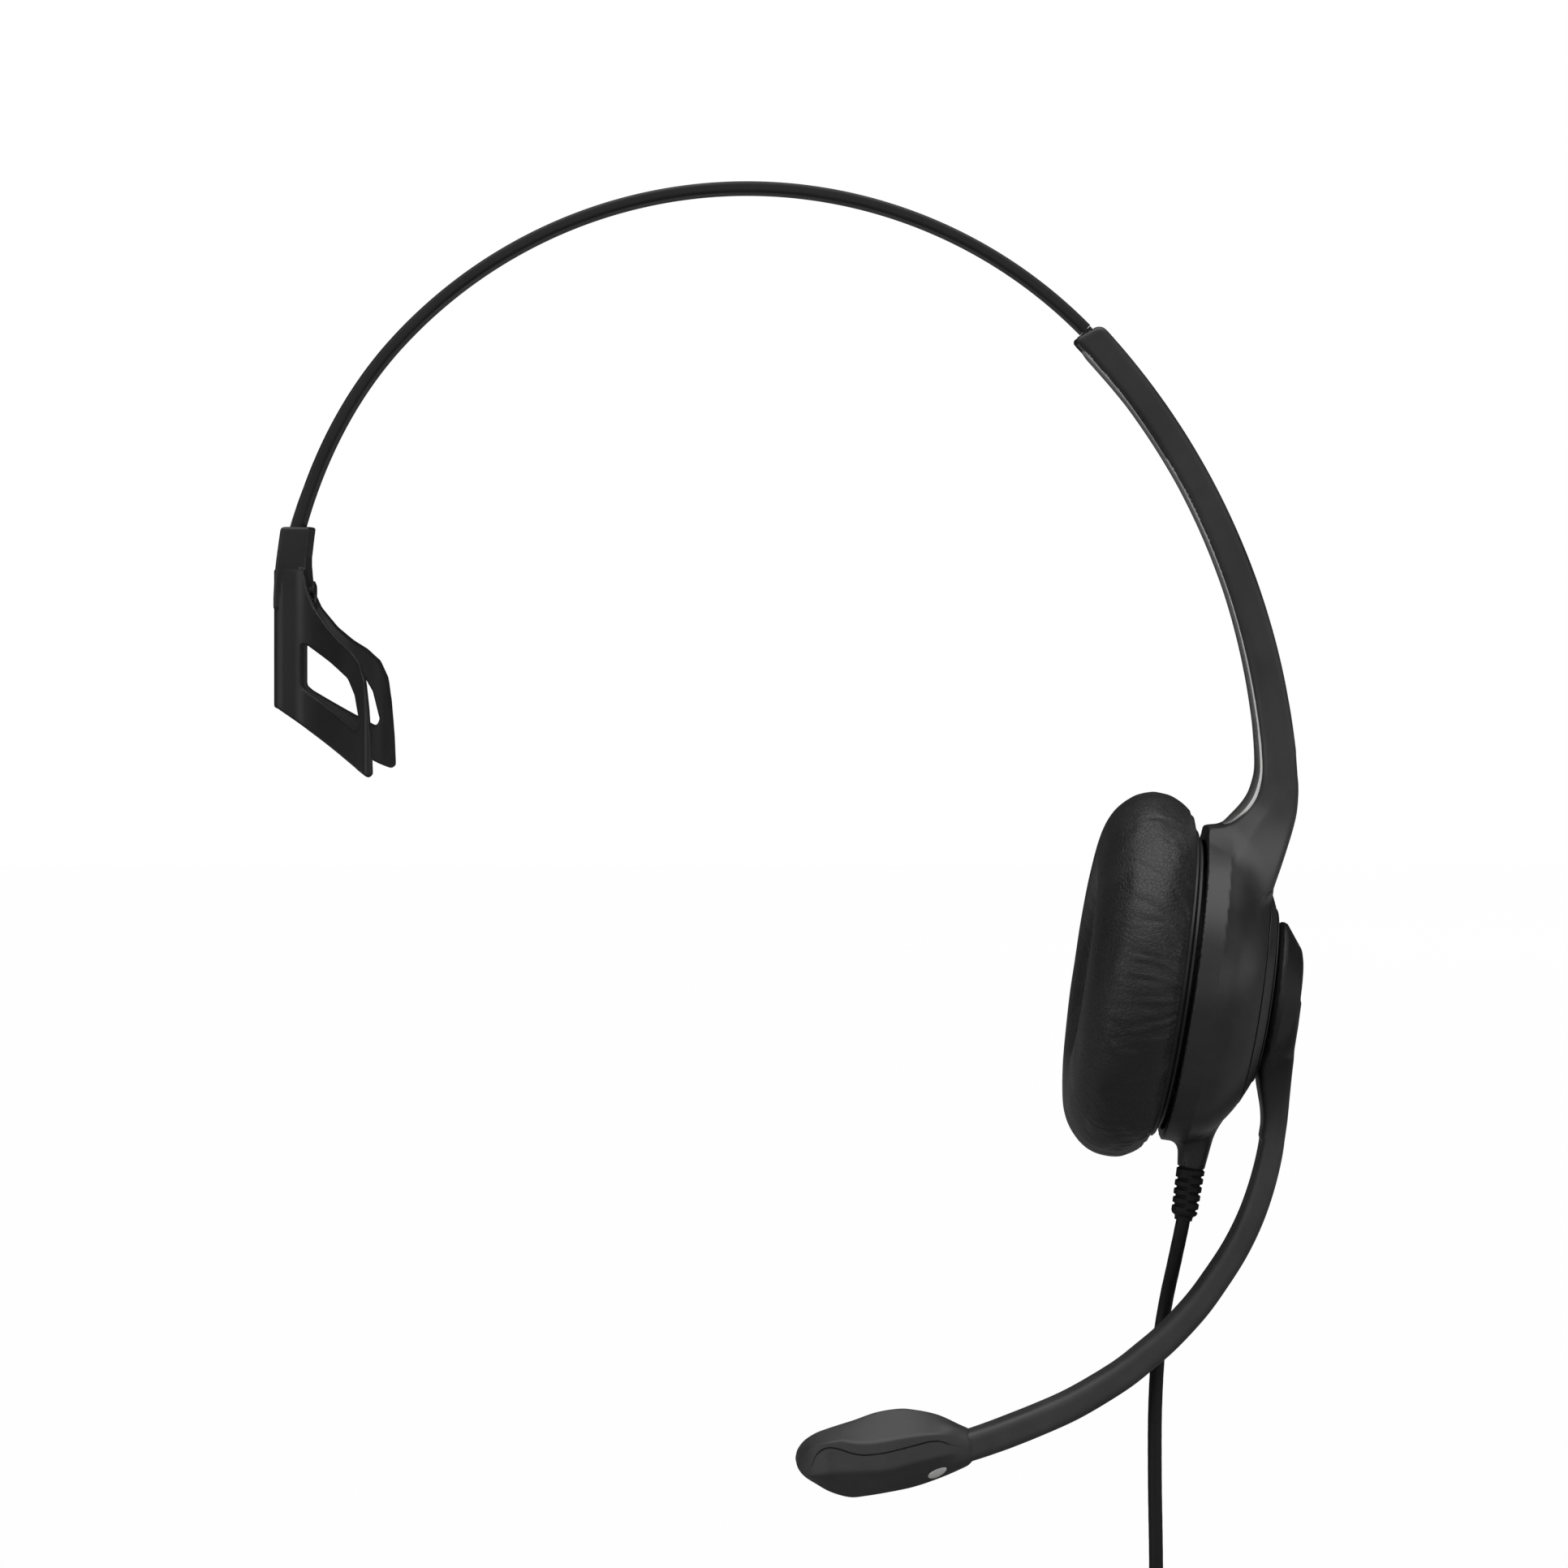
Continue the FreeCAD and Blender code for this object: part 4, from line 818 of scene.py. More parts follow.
def make_trim():
    line = spline(np.vstack([ARM_INNER[-3:0:-3], TRIM_LOW_END]), 170)
    along = tangents(line)
    inward = np.stack([along[:, 1], -along[:, 0]], -1)         # towards the head
    length = running_length(line)
    rings = []
    for i, (x, z) in enumerate(line):
        run_in, least = (2.2, 0.3) if i < 60 else (5.5, 0.08)  # blunt top, pointed low end
        end = ramp(min(length[i], length[-1] - length[i]), 0, run_in)
        tip = math.sqrt(max(0.0, 1 - (1 - end) ** 2))
        section = trim_section(trim_half_width(z) * max(least, tip),
                               trim_rise(z) * max(0.05, tip))
        rings.append([(x + inward[i, 0] * height, y, z + inward[i, 1] * height)
                      for y, height in section])
    trim = shade(grid_mesh("arm_trim_polished", rings), 50)
    fit(trim, "trim", "polished_trim", "arm", "arm_trim_strip")


# ------------------------------------------------------------------ strain relief and cord
CORD_OUT = 7.28                                        # cord axis, outward from the cup centre
CORD_RADIUS = 1.25
# relief radius by depth below its origin: collar, step, tapering body, rounded end
RELIEF_DEPTHS = [29.05, 32.45, 32.55, 32.7, 32.85, 40.3, 40.75, 41.0, 41.15, 41.8]
RELIEF_RADII = [1.9, 2.0, 2.05, 2.3, 2.5, 2.34, 2.15, 1.75, 1.62, 1.55]
GROOVE_START, GROOVE_END, GROOVE_PITCH, GROOVE_DEPTH = 33.9, 40.2, 1.5, 0.42


def relief_radius(depth, around):
    if depth < RELIEF_DEPTHS[0]:
        return np.full(len(around), 1.88)
    radius = np.full(len(around), np.interp(depth, RELIEF_DEPTHS, RELIEF_RADII))
    # half-round grooves, alternating between the two sides
    for side, shift in ((0.0, 0.0), (math.pi, GROOVE_PITCH / 2)):
        first = GROOVE_START + shift
        if first - 0.5 < depth < GROOVE_END:
            off = (depth - first) % GROOVE_PITCH
            off = min(off, GROOVE_PITCH - off)
            dip = GROOVE_DEPTH * math.exp(-(off / 0.24) ** 4)
            angle = np.abs((around - side + math.pi) % TURN - math.pi)
            radius = radius - dip * ramp(angle, 1.55, -0.25)
    return radius


def make_strain_relief():
    origin = cup(CORD_OUT, 0.0, 0.0)
    depths = np.concatenate([[25.0, 28.9, 29.05, 29.1], np.arange(29.3, 32.6, 0.3),
                             np.arange(32.6, 41.7, 0.075), [41.75, 41.8]])
    around = np.linspace(0, TURN, 96, endpoint=False)
    spokes = np.cos(around)[:, None] * OUT + np.sin(around)[:, None] * np.array([0, 1.0, 0])
    rings = [origin + (0.65 - depth) * UP + relief_radius(depth, around)[:, None] * spokes
             for depth in depths]
    relief = shade(grid_mesh("strain_relief_ribbed", rings), 50)
    fit(relief, "rubber", "relief_rubber", "arm", "strain_relief")


def make_cord():
    path = spline([cup(CORD_OUT, 0, rise) for rise in (-24.5, -32.5, -38.0, -41.15)] + [
        (75.4, 2.1, -188.0), (74.1, 5.3, -195.5), (72.9, 6.5, -204.0), (72.3, 6.6, -214.0),
        (72.2, 6.3, -226.0), (72.4, 6.0, -242.0), (72.4, 6.0, -256.0), (72.4, 6.0, -272.0)],
        260)
    around = np.linspace(0, TURN, 28, endpoint=False)[:, None]
    side = np.array([0, 1.0, 0])
    rings = []
    for i, (point, along) in enumerate(zip(path, tangents(path))):
        side = unit(side - along * (side @ along))     # carried along without twist
        radius = CORD_RADIUS + 0.006 * math.sin(i * 0.9)
        rings.append(point + radius * (np.cos(around) * side +
                                       np.sin(around) * np.cross(along, side)))
    fit(grid_mesh("cord_jacket", rings), "cable", "cable_rubber", "arm", "cable_jacket")


# ------------------------------------------------------------------ boom
# (x, z) middle line of the boom's free length, from below the cup to the microphone
BOOM_LINE = spline([
    (92.8, -163.0), (92.0, -168.7), (90.6, -174.4), (88.6, -180.1), (85.8, -185.8),
    (82.1, -191.5), (79.4, -195.2), (76.4, -198.6), (73.2, -201.8), (69.9, -204.6),
    (66.8, -207.1), (63.5, -209.3), (57.1, -213.0), (50.6, -215.9), (44.2, -218.4),
    (39.9, -219.9), (37.6, -220.6)], 120)


def boom_outline():
    along = tangents(BOOM_LINE)
    normal = np.stack([-along[:, 1], along[:, 0]], -1)
    half = np.interp(BOOM_LINE[:, 1], [-221, -212, -200, -185, -163],
                     [2.55, 2.45, 2.3, 2.15, 2.0])[:, None]
    inner, outer = BOOM_LINE - normal * half, BOOM_LINE + normal * half
    if outer[0, 0] < inner[0, 0]:
        inner, outer = outer, inner
    join = int(np.argmax(BOOM_LINE[:, 1] < -166.5))
    # the two sides between the pivot head and the free length
    top_inner = spline([cup_xz(16.25, 1.0), cup_xz(16.25, -9.0), cup_xz(16.25, -12.8),
                        cup_xz(16.6, -15.2), cup_xz(17.3, -17.6), cup_xz(18.0, -20.0),
                        cup_xz(18.4, -22.4), cup_xz(18.47, -25.0), inner[join]], 50)[:-1]
    top_outer = spline([cup_xz(21.0, 1.0), cup_xz(21.15, -3.0), cup_xz(21.5, -7.0),
                        cup_xz(21.95, -12.5), cup_xz(22.3, -16.8), cup_xz(22.6, -21.1),
                        cup_xz(22.65, -25.0), outer[join]], 50)[:-1]
    return np.vstack([top_inner, inner[join:], outer[:join - 1:-1], top_outer[::-1]])


BOOM_SIDE = Flat(boom_outline(), pad=7)
BOOM_HEAD = Flat(fillet([                              # (outward, radius) of the pivot head
    (15.95, -6), (15.95, 12.3), (16.2, 12.9), (16.95, 13.4), (17.75, 13.1), (20.8, 9.1),
    (21.2, 7.7), (21.2, -6)], [0, 0.15, 0.25, 0.3, 0.3, 0.8, 0.9, 0]), step=0.12, pad=7)


def boom_field(x, y, z):
    out, _, rise = to_cup(x, y, z)
    radius = np.hypot(rise, y)
    t = np.clip((rise + 24) / 14.0, 0, 1)              # wider towards the head
    half_width = 4.0 + 3.6 * t * t - 0.45 * ramp(x, 46.0, -6.0)
    bar = smooth_max(BOOM_SIDE(x, z), (np.abs(y) - half_width) * 0.9, 1.5)
    bar = np.maximum(bar, rise + 0.5)
    body = smooth_min(BOOM_HEAD(out, radius), bar, 1.6)
    body = np.maximum(body, np.minimum(15.95 - out, 18.0 - radius))   # flat face at the cup
    body = cut(body, radius - 8.2, out - 16.4)         # shallow recess on the cup side
    body = cut(body, radius - 5.25, 19.4 - out)        # seat of the pivot cap
    return cut(body, radius - 2.55, 14 - out)          # axle hole


def make_boom():
    boom = surface("boom_moulding", boom_field, (36, -15, -224), (101, 15, -122), 0.4)
    fit(boom, "boom", "boom_plastic", "boom", "boom_arm")
    cap = revolve("pivot_cap_domed", [
        (19.95, 0.02), (19.95, 4.7), (20.1, 4.95), (20.8, 5.0), (21.12, 4.75), (21.28, 4.2),
        (21.4, 3.0), (21.47, 1.5), (21.5, 0.02)], 120)
    fit(shade(cap, 40), "cap", "boom_plastic", "boom", "boom_pivot_cap")


# ------------------------------------------------------------------ microphone
# (x, z) lines seen from the front; the last three lie on the front face
MIC_TOP = spline([
    (39.6, -217.6), (37.8, -216.85), (33.5, -214.9), (29.2, -214.0), (27.1, -213.85),
    (22.8, -214.5), (18.5, -216.0), (14.2, -217.4), (12.1, -218.2), (9.9, -219.6),
    (8.8, -221.1), (8.5, -222.5)], 200)
MIC_BOTTOM = spline([
    (39.6, -223.2), (37.8, -224.1), (33.5, -225.95), (29.2, -227.4), (24.9, -228.3),
    (20.6, -229.0), (18.5, -229.2), (16.4, -228.8), (14.2, -228.0), (12.1, -226.8),
    (9.9, -225.4), (8.9, -224.1), (8.5, -222.5)], 200)
MIC_SEAM = spline([
    (9.1975, -225.1588), (11.3270, -223.3131), (12.0369, -221.4675), (13.1727, -220.3317),
    (14.3084, -219.9058), (16.0121, -220.0478), (18.4256, -220.7577), (20.2712, -221.0416),
    (23.5366, -220.7577), (26.8019, -220.0478), (29.6413, -219.3379), (32.0549, -218.7701),
    (33.9005, -218.7701), (36.4560, -219.6219), (39.7213, -220.0478)], 160)
MIC_UPPER_CREASE = spline([
    (9.1975, -222.0354), (10.7591, -220.0478), (12.1789, -218.4861), (13.7405, -217.9182),
    (15.5862, -218.2022), (18.4256, -218.7701), (20.9811, -218.9120), (23.5366, -218.6281),
    (26.8019, -218.0602), (31.4870, -217.4923), (35.4622, -217.4923),
    (39.7213, -218.0602)], 160)
MIC_LOWER_CREASE = spline([
    (9.1975, -225.7267), (11.3270, -225.1588), (14.1665, -224.5909), (17.0059, -224.1650),
    (19.7033, -224.0230), (23.5366, -223.8810), (26.8019, -223.1712), (30.6351, -222.1774),
    (34.7523, -221.3255), (39.7213, -220.7577)], 160)
mic_scale = smooth_lookup(                             # share of the full depth in y, by x
    [8.5, 9.4, 11.5, 14, 18, 24, 30, 34, 37, 39.6],
    [0.10, 0.34, 0.66, 0.86, 0.97, 1.0, 0.95, 0.88, 0.78, 0.70], 0.5)
MIC_STATIONS = np.concatenate([[8.52, 8.6, 8.75, 8.95, 9.2, 9.5], np.arange(9.8, 14, 0.22),
                               np.arange(14, 39.4, 0.24), [39.4, 39.6]])
RIDGE_Y, UPPER_Y, LOWER_Y = 2.4, 5.6, 6.35             # half depths at full scale
SEAM_INDEX = 58                                        # ring point that lies on the seam
SEAM_DENT = 0.38


def height_at(curve, x):
    points = curve[np.argsort(curve[:, 0])]
    return np.interp(x, points[:, 0], points[:, 1])


def rounded_ring(ring):
    """Corners rounded, with the seam left crisp."""
    smooth = ring.copy()
    for _ in range(9):
        smooth = 0.25 * np.roll(smooth, 1, 0) + 0.5 * smooth + 0.25 * np.roll(smooth, -1, 0)
    keep = np.zeros(len(ring))
    keep[SEAM_INDEX - 5:SEAM_INDEX + 6] = 1
    keep = np.convolve(np.tile(keep, 3), np.ones(7) / 7, "same")
    keep = keep[len(ring):2 * len(ring)][:, None]
    return smooth * (1 - keep) + ring * keep


def mic_ring(x):
    """Faceted (y, z) section: the rear is the front turned half round the centre."""
    z_top, z_bottom = height_at(MIC_TOP, x), height_at(MIC_BOTTOM, x)
    z_mid = 0.5 * (z_top + z_bottom)
    scale = float(mic_scale(x))
    z_upper = min(height_at(MIC_UPPER_CREASE, x), z_top - 0.30 * (z_top - z_mid))
    z_lower = max(height_at(MIC_LOWER_CREASE, x), z_bottom + 0.30 * (z_mid - z_bottom))
    z_seam = min(max(height_at(MIC_SEAM, x), z_lower + 0.08), z_upper - 0.08)
    top = np.array([RIDGE_Y * scale, z_top])
    upper = np.array([-UPPER_Y * scale, z_upper])
    lower = np.array([-LOWER_Y * scale, z_lower])
    bottom = np.array([-RIDGE_Y * scale, z_bottom])
    share = min(0.86, max(0.14, (z_upper - z_seam) / max(z_upper - z_lower, 0.02)))
    seam = upper + (lower - upper) * share
    rear_lower = np.array([UPPER_Y * scale, 2 * z_mid - z_upper])
    rear_upper = np.array([LOWER_Y * scale, 2 * z_mid - z_lower])

    def run(start, end, n, t_from=0.0, t_to=1.0):
        t = np.linspace(t_from, t_to, n, endpoint=False)[:, None]
        return start + (end - start) * t

    def lip(crease):                                   # where the seam's groove begins
        return min(0.16 / max(np.linalg.norm(crease - seam), 0.5), 0.3)

    above, below = lip(upper), lip(lower)
    ring = rounded_ring(np.vstack([
        run(top, upper, 40), run(upper, seam, 16, 0, 1 - above),
        seam + (upper - seam) * above, seam + (upper - seam) * above * 0.45,
        seam, seam + (lower - seam) * below * 0.45, run(seam, lower, 18, below, 1.0),
        run(lower, bottom, 30), run(bottom, rear_lower, 40),
        run(rear_lower, rear_upper, 24), run(rear_upper, top, 30)]))
    dent = SEAM_DENT * ramp(x, 11.0, 2.0) * ramp(x, 37.6, -1.5)
    ring[SEAM_INDEX - 1:SEAM_INDEX + 2, 0] += dent * np.array([0.85, 1.0, 0.85])
    neck = ease(x, 32.5, 5.5)                          # turns into the boom's own section
    if neck > 0:
        taper = 1.0 if x < 38.6 else 1 - 0.13 * (x - 38.6) ** 2
        half_y = UPPER_Y * scale * 0.98 * taper
        half_z = 0.5 * (z_top - z_bottom) * taper
        angle = np.arctan2((ring[:, 1] - z_mid) / half_z, ring[:, 0] / half_y)
        cos, sin = np.cos(angle), np.sin(angle)
        bulge = (np.abs(cos) ** 3 + np.abs(sin) ** 3) ** (-1 / 3)
        oval = np.stack([half_y * cos * bulge, z_mid + half_z * sin * bulge], -1)
        ring = ring * (1 - neck) + oval * neck
    return [(x, y, z) for y, z in ring]


MARKER_X, MARKER_Z = 33.3857, -224.3714                # on the lower front facet
# (radius, height off the facet) from the middle of the dot round to its back
MARKER_PROFILE = [(0.02, 0.42), (0.6, 0.41), (1.2, 0.37), (1.6, 0.30), (1.78, 0.20),
                  (1.84, 0.06), (1.84, -0.8), (0.02, -0.8)]


def make_microphone():
    mic = grid_mesh("mic_capsule_shell", [mic_ring(x) for x in MIC_STATIONS])
    shade(mic, 38)
    fit(mic, "mic", "mic_plastic", "boom", "mic_shell_upper", "mic_shell_lower")

    # light marker dot, an oval sunk into the facet with its long axis 30 degrees up
    facing = unit(np.array([0.0, -0.97, -0.22]))
    tilt = math.radians(30)
    long_axis = np.array([math.cos(tilt), 0, math.sin(tilt)])
    long_axis = unit(long_axis - facing * (long_axis @ facing))
    short_axis = np.cross(facing, long_axis) * 0.44
    tree = ray_tree([v.co for v in mic.data.vertices], mic.data)
    start = Vector((MARKER_X * MM, -0.05, MARKER_Z * MM))
    centre = np.array(tree.ray_cast(start, Vector((0, 1, 0)))[0]) / MM
    a = np.linspace(0, TURN, 48, endpoint=False)[:, None]
    rings = [centre + facing * height + radius * (np.cos(a) * long_axis + np.sin(a) * short_axis)
             for radius, height in MARKER_PROFILE]
    dot = grid_mesh("mic_marker_dot", rings)
    fit(dot, "marker", "marker_silver", "boom", "mic_marker")


# ------------------------------------------------------------------ ear cushion
# closed (outward, radius) section of the cushion; the face towards the head is at -17
CUSHION_OUTLINE = [
    (-1.2, 10.0), (-0.9, 20.0), (-0.7, 26.4), (-0.95, 27.9), (-1.9, 29.7), (-3.4, 31.1),
    (-5.6, 31.95), (-8.4, 32.2), (-11.0, 31.65), (-13.3, 30.4), (-15.0, 28.6),
    (-16.3, 26.2), (-17.05, 23.2), (-17.35, 20.0), (-17.2, 17.2), (-16.7, 14.9),
    (-15.6, 12.7), (-13.6, 10.9), (-11.0, 9.8), (-7.0, 9.4), (-4.0, 9.6)]
CUSHION_CORE = np.array([-9.2, 20.5])                  # middle of the section
CUSHION_RISE = 0.4                                     # cushion axis above the cup axis


def cushion_place(section, angle):
    out, radius = section.T
    return cup(out, -radius * math.cos(angle), CUSHION_RISE + radius * math.sin(angle))


def cushion_rings(n_around, n_section, shrink=0.0):
    section = spline(CUSHION_OUTLINE, n_section, closed=True)
    section = CUSHION_CORE + (section - CUSHION_CORE) * (1 - shrink)
    angles = np.linspace(0, TURN, n_around, endpoint=False)
    return section, angles, np.stack([cushion_place(section, a) for a in angles])


def evaluated_mesh(ob):
    graph = bpy.context.evaluated_depsgraph_get()
    return bpy.data.meshes.new_from_object(ob.evaluated_get(graph))


def inflated_skin():
    """Ray-cast tree of a cloth skin, started a little small and blown up by pressure."""
    soft = grid_mesh("cushion_sim", cushion_rings(96, 60, shrink=0.045)[2], closed=True)
    bpy.context.view_layer.objects.active = soft
    remesh = soft.modifiers.new("remesh", "REMESH")
    remesh.mode = "VOXEL"
    remesh.voxel_size = 0.0013
    mesh = evaluated_mesh(soft)
    soft.modifiers.clear()
    soft.data = mesh
    start = np.array([v.co for v in mesh.vertices]) / MM
    out, y, rise = to_cup(*start.T)
    held = soft.vertex_groups.new(name="held")
    inner_wall = (np.hypot(y, rise) < 12.0) & (out > -6.0)
    for region, weight in ((out > -1.9, 1.0), (inner_wall, 0.9)):
        for i in np.where(region)[0]:
            held.add([int(i)], weight, "REPLACE")
    cloth = soft.modifiers.new("cloth", "CLOTH")
    for key, value in dict(
            quality=6, mass=0.12, tension_stiffness=18, compression_stiffness=8,
            shear_stiffness=6, bending_stiffness=0.15, use_pressure=True,
            uniform_pressure_force=4.0, vertex_group_mass="held",
            shrink_min=-0.035).items():
        setattr(cloth.settings, key, value)
    cloth.settings.effector_weights.gravity = 0.0
    cloth.collision_settings.use_self_collision = False
    cloth.collision_settings.use_collision = False
    for number in range(1, 21):
        bpy.context.scene.frame_set(number)
    blown = evaluated_mesh(soft)
    move = np.array([v.co for v in blown.vertices]) / MM - start
    length = np.linalg.norm(move, axis=1, keepdims=True)
    move *= np.minimum(1.0, 1.0 / np.maximum(length, 1e-9))    # at most 1 mm
    soft.modifiers.clear()
    bpy.context.scene.frame_set(1)
    tree = ray_tree(start + move, blown)
    bpy.data.objects.remove(soft)
    return tree


def follow_skin(rings, cores, tree):
    """Rings pulled part of the way to the blown skin, then evened out."""
    base = rings.copy()
    for ring, shaped, core in zip(rings, base, cores):
        for j, point in enumerate(ring):
            spoke = point - core
            length = np.linalg.norm(spoke)
            spoke = spoke / length
            location, _, _, reach = tree.ray_cast(Vector(core), Vector(spoke), length + 3)
            if location is not None:
                reach = min(max(reach + 0.25, length - 0.4), length + 0.5)
                shaped[j] = core + spoke * (0.45 * length + 0.55 * reach)
    for _ in range(3):
        base = 0.5 * base + 0.125 * (np.roll(base, 1, 0) + np.roll(base, -1, 0) +
                                     np.roll(base, 1, 1) + np.roll(base, -1, 1))
    return base


def outward_normals(base, cores):
    along = np.roll(base, -1, 1) - np.roll(base, 1, 1)
    around = np.roll(base, -1, 0) - np.roll(base, 1, 0)
    normals = np.cross(along, around)
    normals /= np.linalg.norm(normals, axis=2, keepdims=True)
    return normals * np.sign(((base - cores[:, None, :]) * normals).sum(2).mean())


def cushion_wrinkles(out, radius, angle, length):
    """Offset of the skin: gathers, fine creases, seams and low folds."""
    turns = angle / TURN
    outer = ramp(radius, 24, 4)                        # 1 on the outer wall
    back = ease(out, -15.5, 8.5)                       # 1 near the ring, 0 at the face

    # pull lines, bent sideways over the upper half towards the seam
    sweep = np.clip(np.sin(angle), -0.15, 1) * ramp(out, -16.0, 15.0) ** 2.4
    bent = turns + 0.62 * sweep / TURN
    warp = 0.5 * noise2(turns * 26, out / 5.0 + 40, seed=3, period=26)
    narrow = noise2(bent * 196 + warp, out / 11.0 + 90, seed=11, period=196)
    medium = noise2(bent * 104 + 0.7 * warp, out / 12.0 + 10, seed=12, period=104)
    broad = noise2(bent * 30 + 0.5 * warp, out / 14.0 + 30, seed=19, period=30)
    patch = np.clip(0.55 + 0.7 * noise2(turns * 12, out / 6.0 + 60, seed=13, period=12), 0, 1)
    front = 0.45 + 0.55 * np.clip(np.cos(angle + 0.35), 0, 1)
    fold = -ramp(np.abs(broad), 0.16, -0.16) ** 1.5 * np.clip(np.sin(angle) * 2.2, 0, 1)
    gather = ((0.115 * narrow + 0.060 * medium) * (0.30 + 0.85 * patch) *
              (0.25 + 0.8 * back) + 0.20 * fold * back) * outer * front

    fine = 0.018 * noise2(turns * 330, out / 1.4 + 200, seed=14, period=330) * outer
    inner = (0.07 * noise2(turns * 70, out / 6.0 + 20, seed=15, period=70) *
             ramp(radius, 17, -4))
    face = (0.05 * noise2(turns * 20, radius / 4.0 + 30, seed=16, period=20) *
            ramp(out, -15.6, -1.2))
    # one seam round the back edge, with puckers beside it, and one on the inner wall
    seam_back = -0.26 * np.exp(-((out + 1.75) / 0.22) ** 2) * ramp(radius, 25, 2)
    pucker = (-0.08 * np.clip(noise1(turns * 170, seed=21, period=170), 0, 1) *
              np.exp(-((out + 3.4) / 1.4) ** 2) * outer)
    seam_inner = -0.25 * np.exp(-((out + 12.6) / 0.35) ** 2) * ramp(radius, 13, -1.5)
    offset = gather + fine + inner + face + seam_back + pucker + seam_inner
    offset = np.where(out > -1.2, np.minimum(offset, 0) * 0.2, offset)

    # a few loose folds low on the side
    low = np.exp(-((angle - math.radians(300)) / 0.30) ** 2)
    drift = 2 * noise2(turns * 30, length / 7, seed=18, period=30)
    return offset + 0.10 * low * np.sin(length * 1.6 + drift) * outer * back


def make_cushion():
    tree = inflated_skin()
    n_around, n_section = ((960, 98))
    section, angles, rings = cushion_rings(n_around, n_section)
    cores = np.stack([cushion_place(CUSHION_CORE, a) for a in angles])
    base = follow_skin(rings, cores, tree) if tree else rings
    columns = (section[None, :, 0], section[None, :, 1], angles[:, None],
               running_length(section)[None, :])
    offset = cushion_wrinkles(*np.broadcast_arrays(*columns))
    skin = base + outward_normals(base, cores) * offset[..., None]
    cushion = grid_mesh("ear_cushion_skin", skin, closed=True)
    fit(cushion, "leather", "leatherette", "earpiece", "ear_cushion", "cushion_foam")


# ------------------------------------------------------------------ CAD nodes kept as they are
KEPT_NODES = {
    "spring": ("headband_spring", "detent_spring", "wave_washer", "axle_clip"),
    "inner": ("slider_rail", "board_parts", "gimbal_ring", "driver_frame"),
    "cap": ("temple_rivet", "cushion_ring"),
    "shell": ("arm_inner_cover", "plug_grip", "speaker_baffle"),
    "steel": ("arm_screws", "gimbal_pins", "baffle_pins", "pivot_axle"),
    "slippery": ("pivot_bush", "friction_washer"),
    "board": ("limiter_board",),
    "rubber": ("plug_boot", "mic_boot"),
    "gold": ("plug_sleeve_contact", "plug_ring_rear", "plug_ring_front",
             "plug_tip_contact"),
    "ring": ("plug_insulator_rear", "plug_insulator_middle", "plug_insulator_front"),
    "magnet": ("driver_yoke", "driver_magnet", "mic_capsule"),
    "copper": ("voice_coil", "boom_wires"),
    "film": ("driver_diaphragm",),
    "scrim": ("acoustic_scrim",),
}


def dress_kept_nodes():
    for finish, names in KEPT_NODES.items():
        for name in names:
            slots = frame["nodes"][name].data.materials
            if not slots:
                slots.append(MATERIALS[finish])
            for i in range(len(slots)):
                slots[i] = MATERIALS[finish]


# ------------------------------------------------------------------ stage, light and camera
FLOOR_Z = -0.3125
VIEW_DISTANCE, VIEW_WIDTH = 0.950, 0.276               # the width seen at that distance
VIEW_X, VIEW_Z, EYE_Z = 0.0065, -0.1038, -0.072        # middle of the view, and eye height


def make_floor():
    """Nearly white to the camera, mid grey to everything else."""
    bpy.ops.mesh.primitive_grid_add(x_subdivisions=8, y_subdivisions=8, size=8.0,
                                    location=(0, 0, FLOOR_Z))
    floor = bpy.context.active_object
    floor.name = "studio_floor"
    pale = bpy.data.materials.new("pale_floor")
    graph = Graph(pale)
    cloud = graph.add("TexNoise", {"Scale": 6.0}).outputs["Fac"]
    glow = graph.add("Emission", {"Strength": graph.remap(cloud, 0.0, 1.0, 0.985, 1.0)})
    grey = graph.add("BsdfDiffuse", {"Color": (0.22, 0.22, 0.22, 1)})
    seen = graph.add("LightPath").outputs["Is Camera Ray"]
    mix = graph.add("MixShader", {0: seen, 1: grey.outputs[0], 2: glow.outputs[0]})
    graph.add("OutputMaterial", {0: mix.outputs[0]})
    floor.data.materials.append(pale)


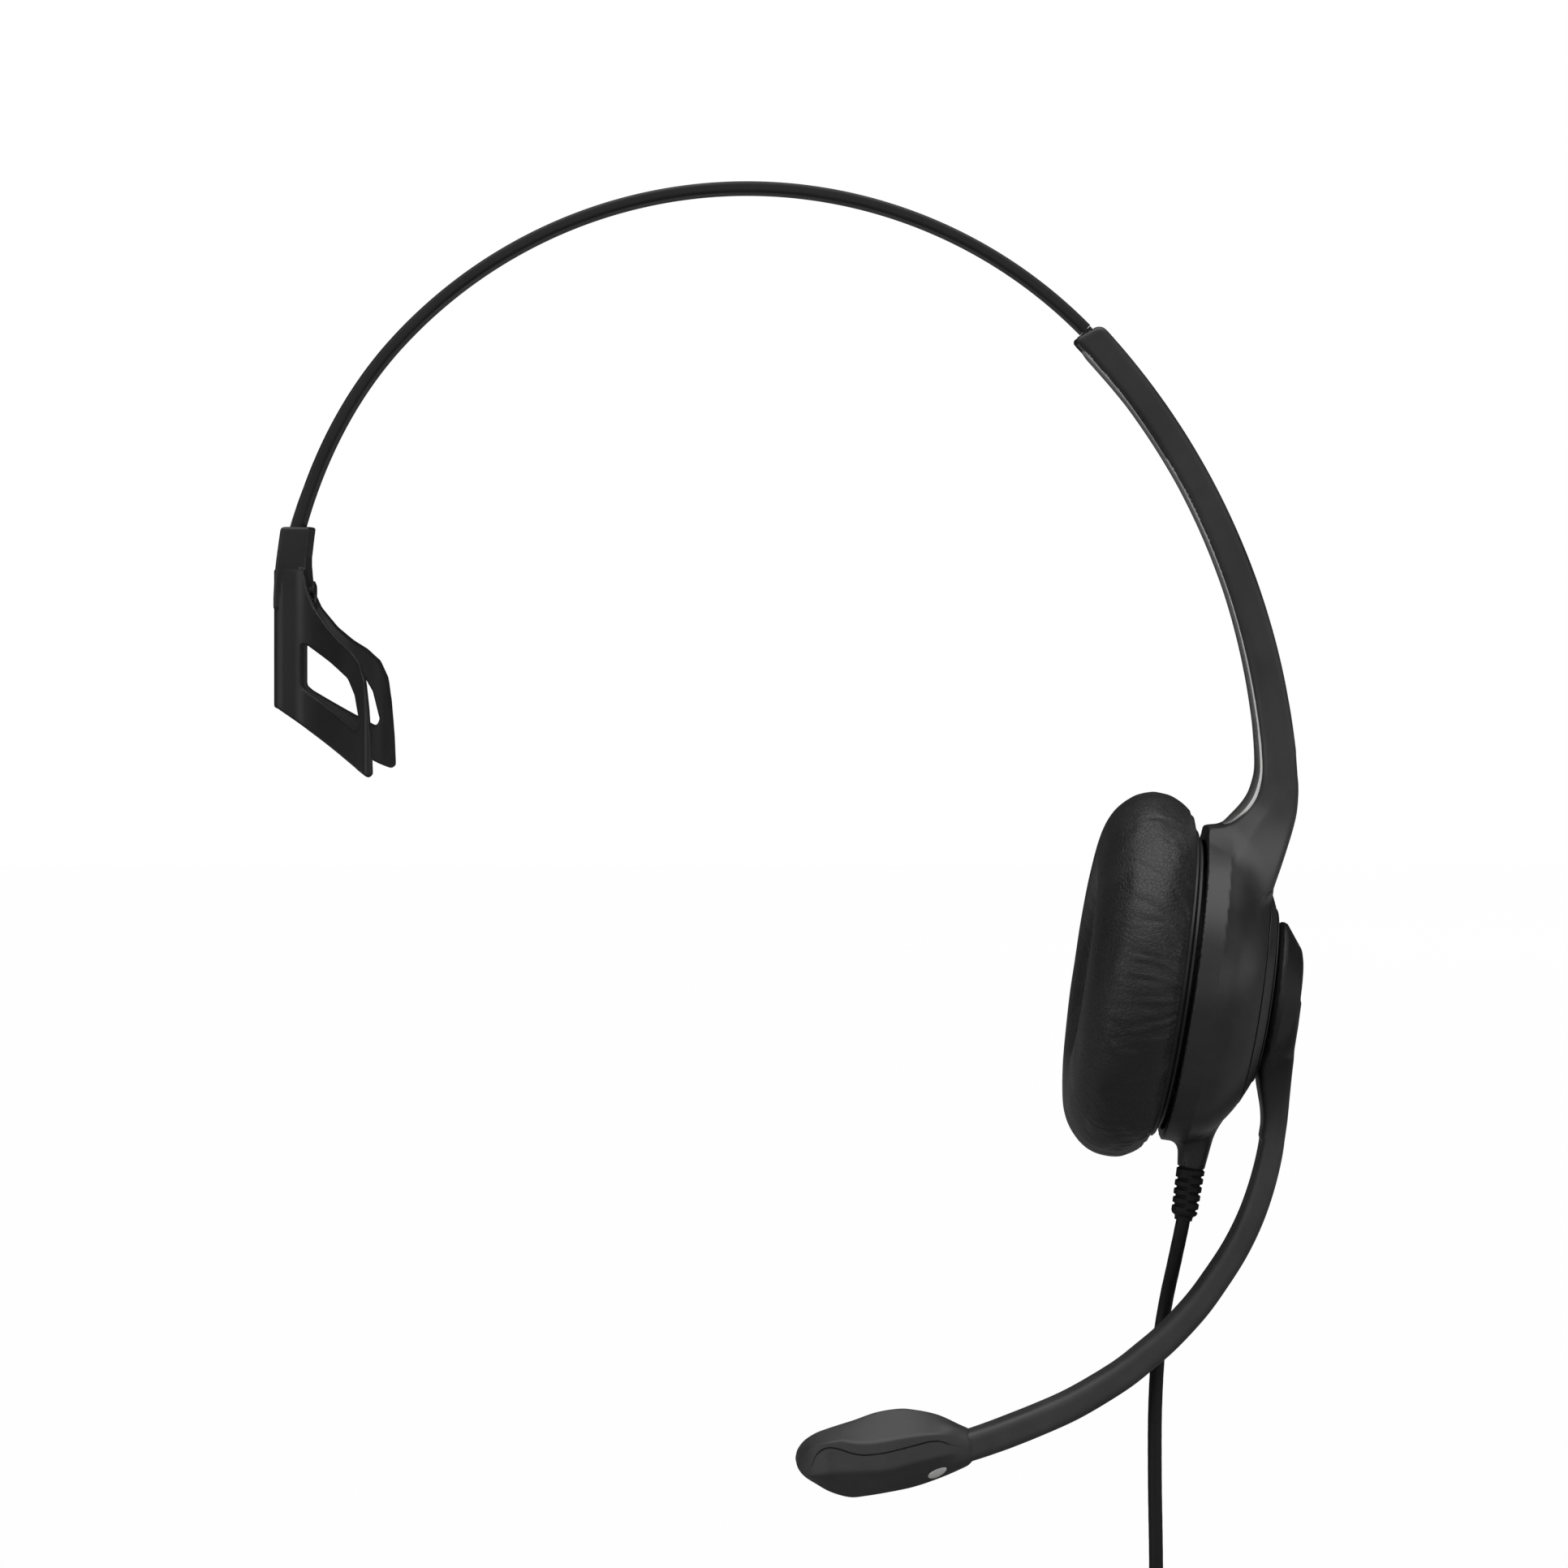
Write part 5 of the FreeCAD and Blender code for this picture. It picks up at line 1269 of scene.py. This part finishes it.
# direction, inner and outer edge in degrees, strength
SOFT_BOXES = [
    ((0.93, 0.0, -0.36), 10, 34, 2.6),                 # at +X, a little low
    ((-0.84, -0.50, -0.22), 12, 34, 1.8),              # at -X, towards the camera
    ((0.0, -0.10, 1.0), 20, 50, 1.8),                  # overhead
    ((0.72, -0.68, -0.12), 6, 24, 1.1),                # between +X and the camera
    ((0.0, -0.65, -0.75), 15, 45, 1.2),                # low in front
]


def make_world():
    """White to the camera; weak front fill and soft boxes to everything else."""
    world = bpy.data.worlds.new("studio")
    bpy.context.scene.world = world
    graph = Graph(world)
    place = graph.add("TexCoord").outputs["Generated"]
    y = graph.add("SeparateXYZ", {0: place}).outputs["Y"]
    total = graph.remap(y, -0.95, 0.05, 0.50, 0.02, interpolation_type="SMOOTHSTEP")
    for direction, inner, outer, strength in SOFT_BOXES:
        toward = graph.add("VectorMath", {0: place, 1: Vector(direction).normalized()},
                           operation="DOT_PRODUCT").outputs["Value"]
        box = graph.remap(toward, math.cos(math.radians(outer)),
                          math.cos(math.radians(inner)), 0.0, strength,
                          interpolation_type="SMOOTHSTEP")
        total = graph.add("Math", {0: total, 1: box}, operation="ADD").outputs[0]
    lights = graph.add("Background", {0: (1, 1, 1, 1), 1: total})
    white = graph.add("Background", {0: (1, 1, 1, 1), 1: 1.0})
    seen = graph.add("LightPath").outputs["Is Camera Ray"]
    mix = graph.add("MixShader", {0: seen, 1: lights.outputs[0], 2: white.outputs[0]})
    graph.add("OutputWorld", {0: mix.outputs[0]})


def make_camera():
    """Level camera at eye height, with the lens shifted to frame the headset."""
    scene = bpy.context.scene
    lens = bpy.data.cameras.new("camera")
    lens.sensor_width = 36
    lens.lens = 36 * VIEW_DISTANCE / VIEW_WIDTH
    lens.clip_start, lens.clip_end = 0.05, 30
    lens.shift_y = (VIEW_Z - EYE_Z) / VIEW_WIDTH
    camera = bpy.data.objects.new("camera", lens)
    scene.collection.objects.link(camera)
    camera.location = (VIEW_X, -VIEW_DISTANCE, EYE_Z)
    camera.rotation_euler = (math.radians(90), 0, 0)
    scene.camera = camera
    scene.view_settings.view_transform = "Standard"
    scene.view_settings.look = "None"


make_headband()
make_temple_rest()
make_cup_arm()
make_trim()
make_strain_relief()
make_cord()
make_boom()
make_microphone()
make_cushion()
dress_kept_nodes()
make_floor()
make_world()
make_camera()
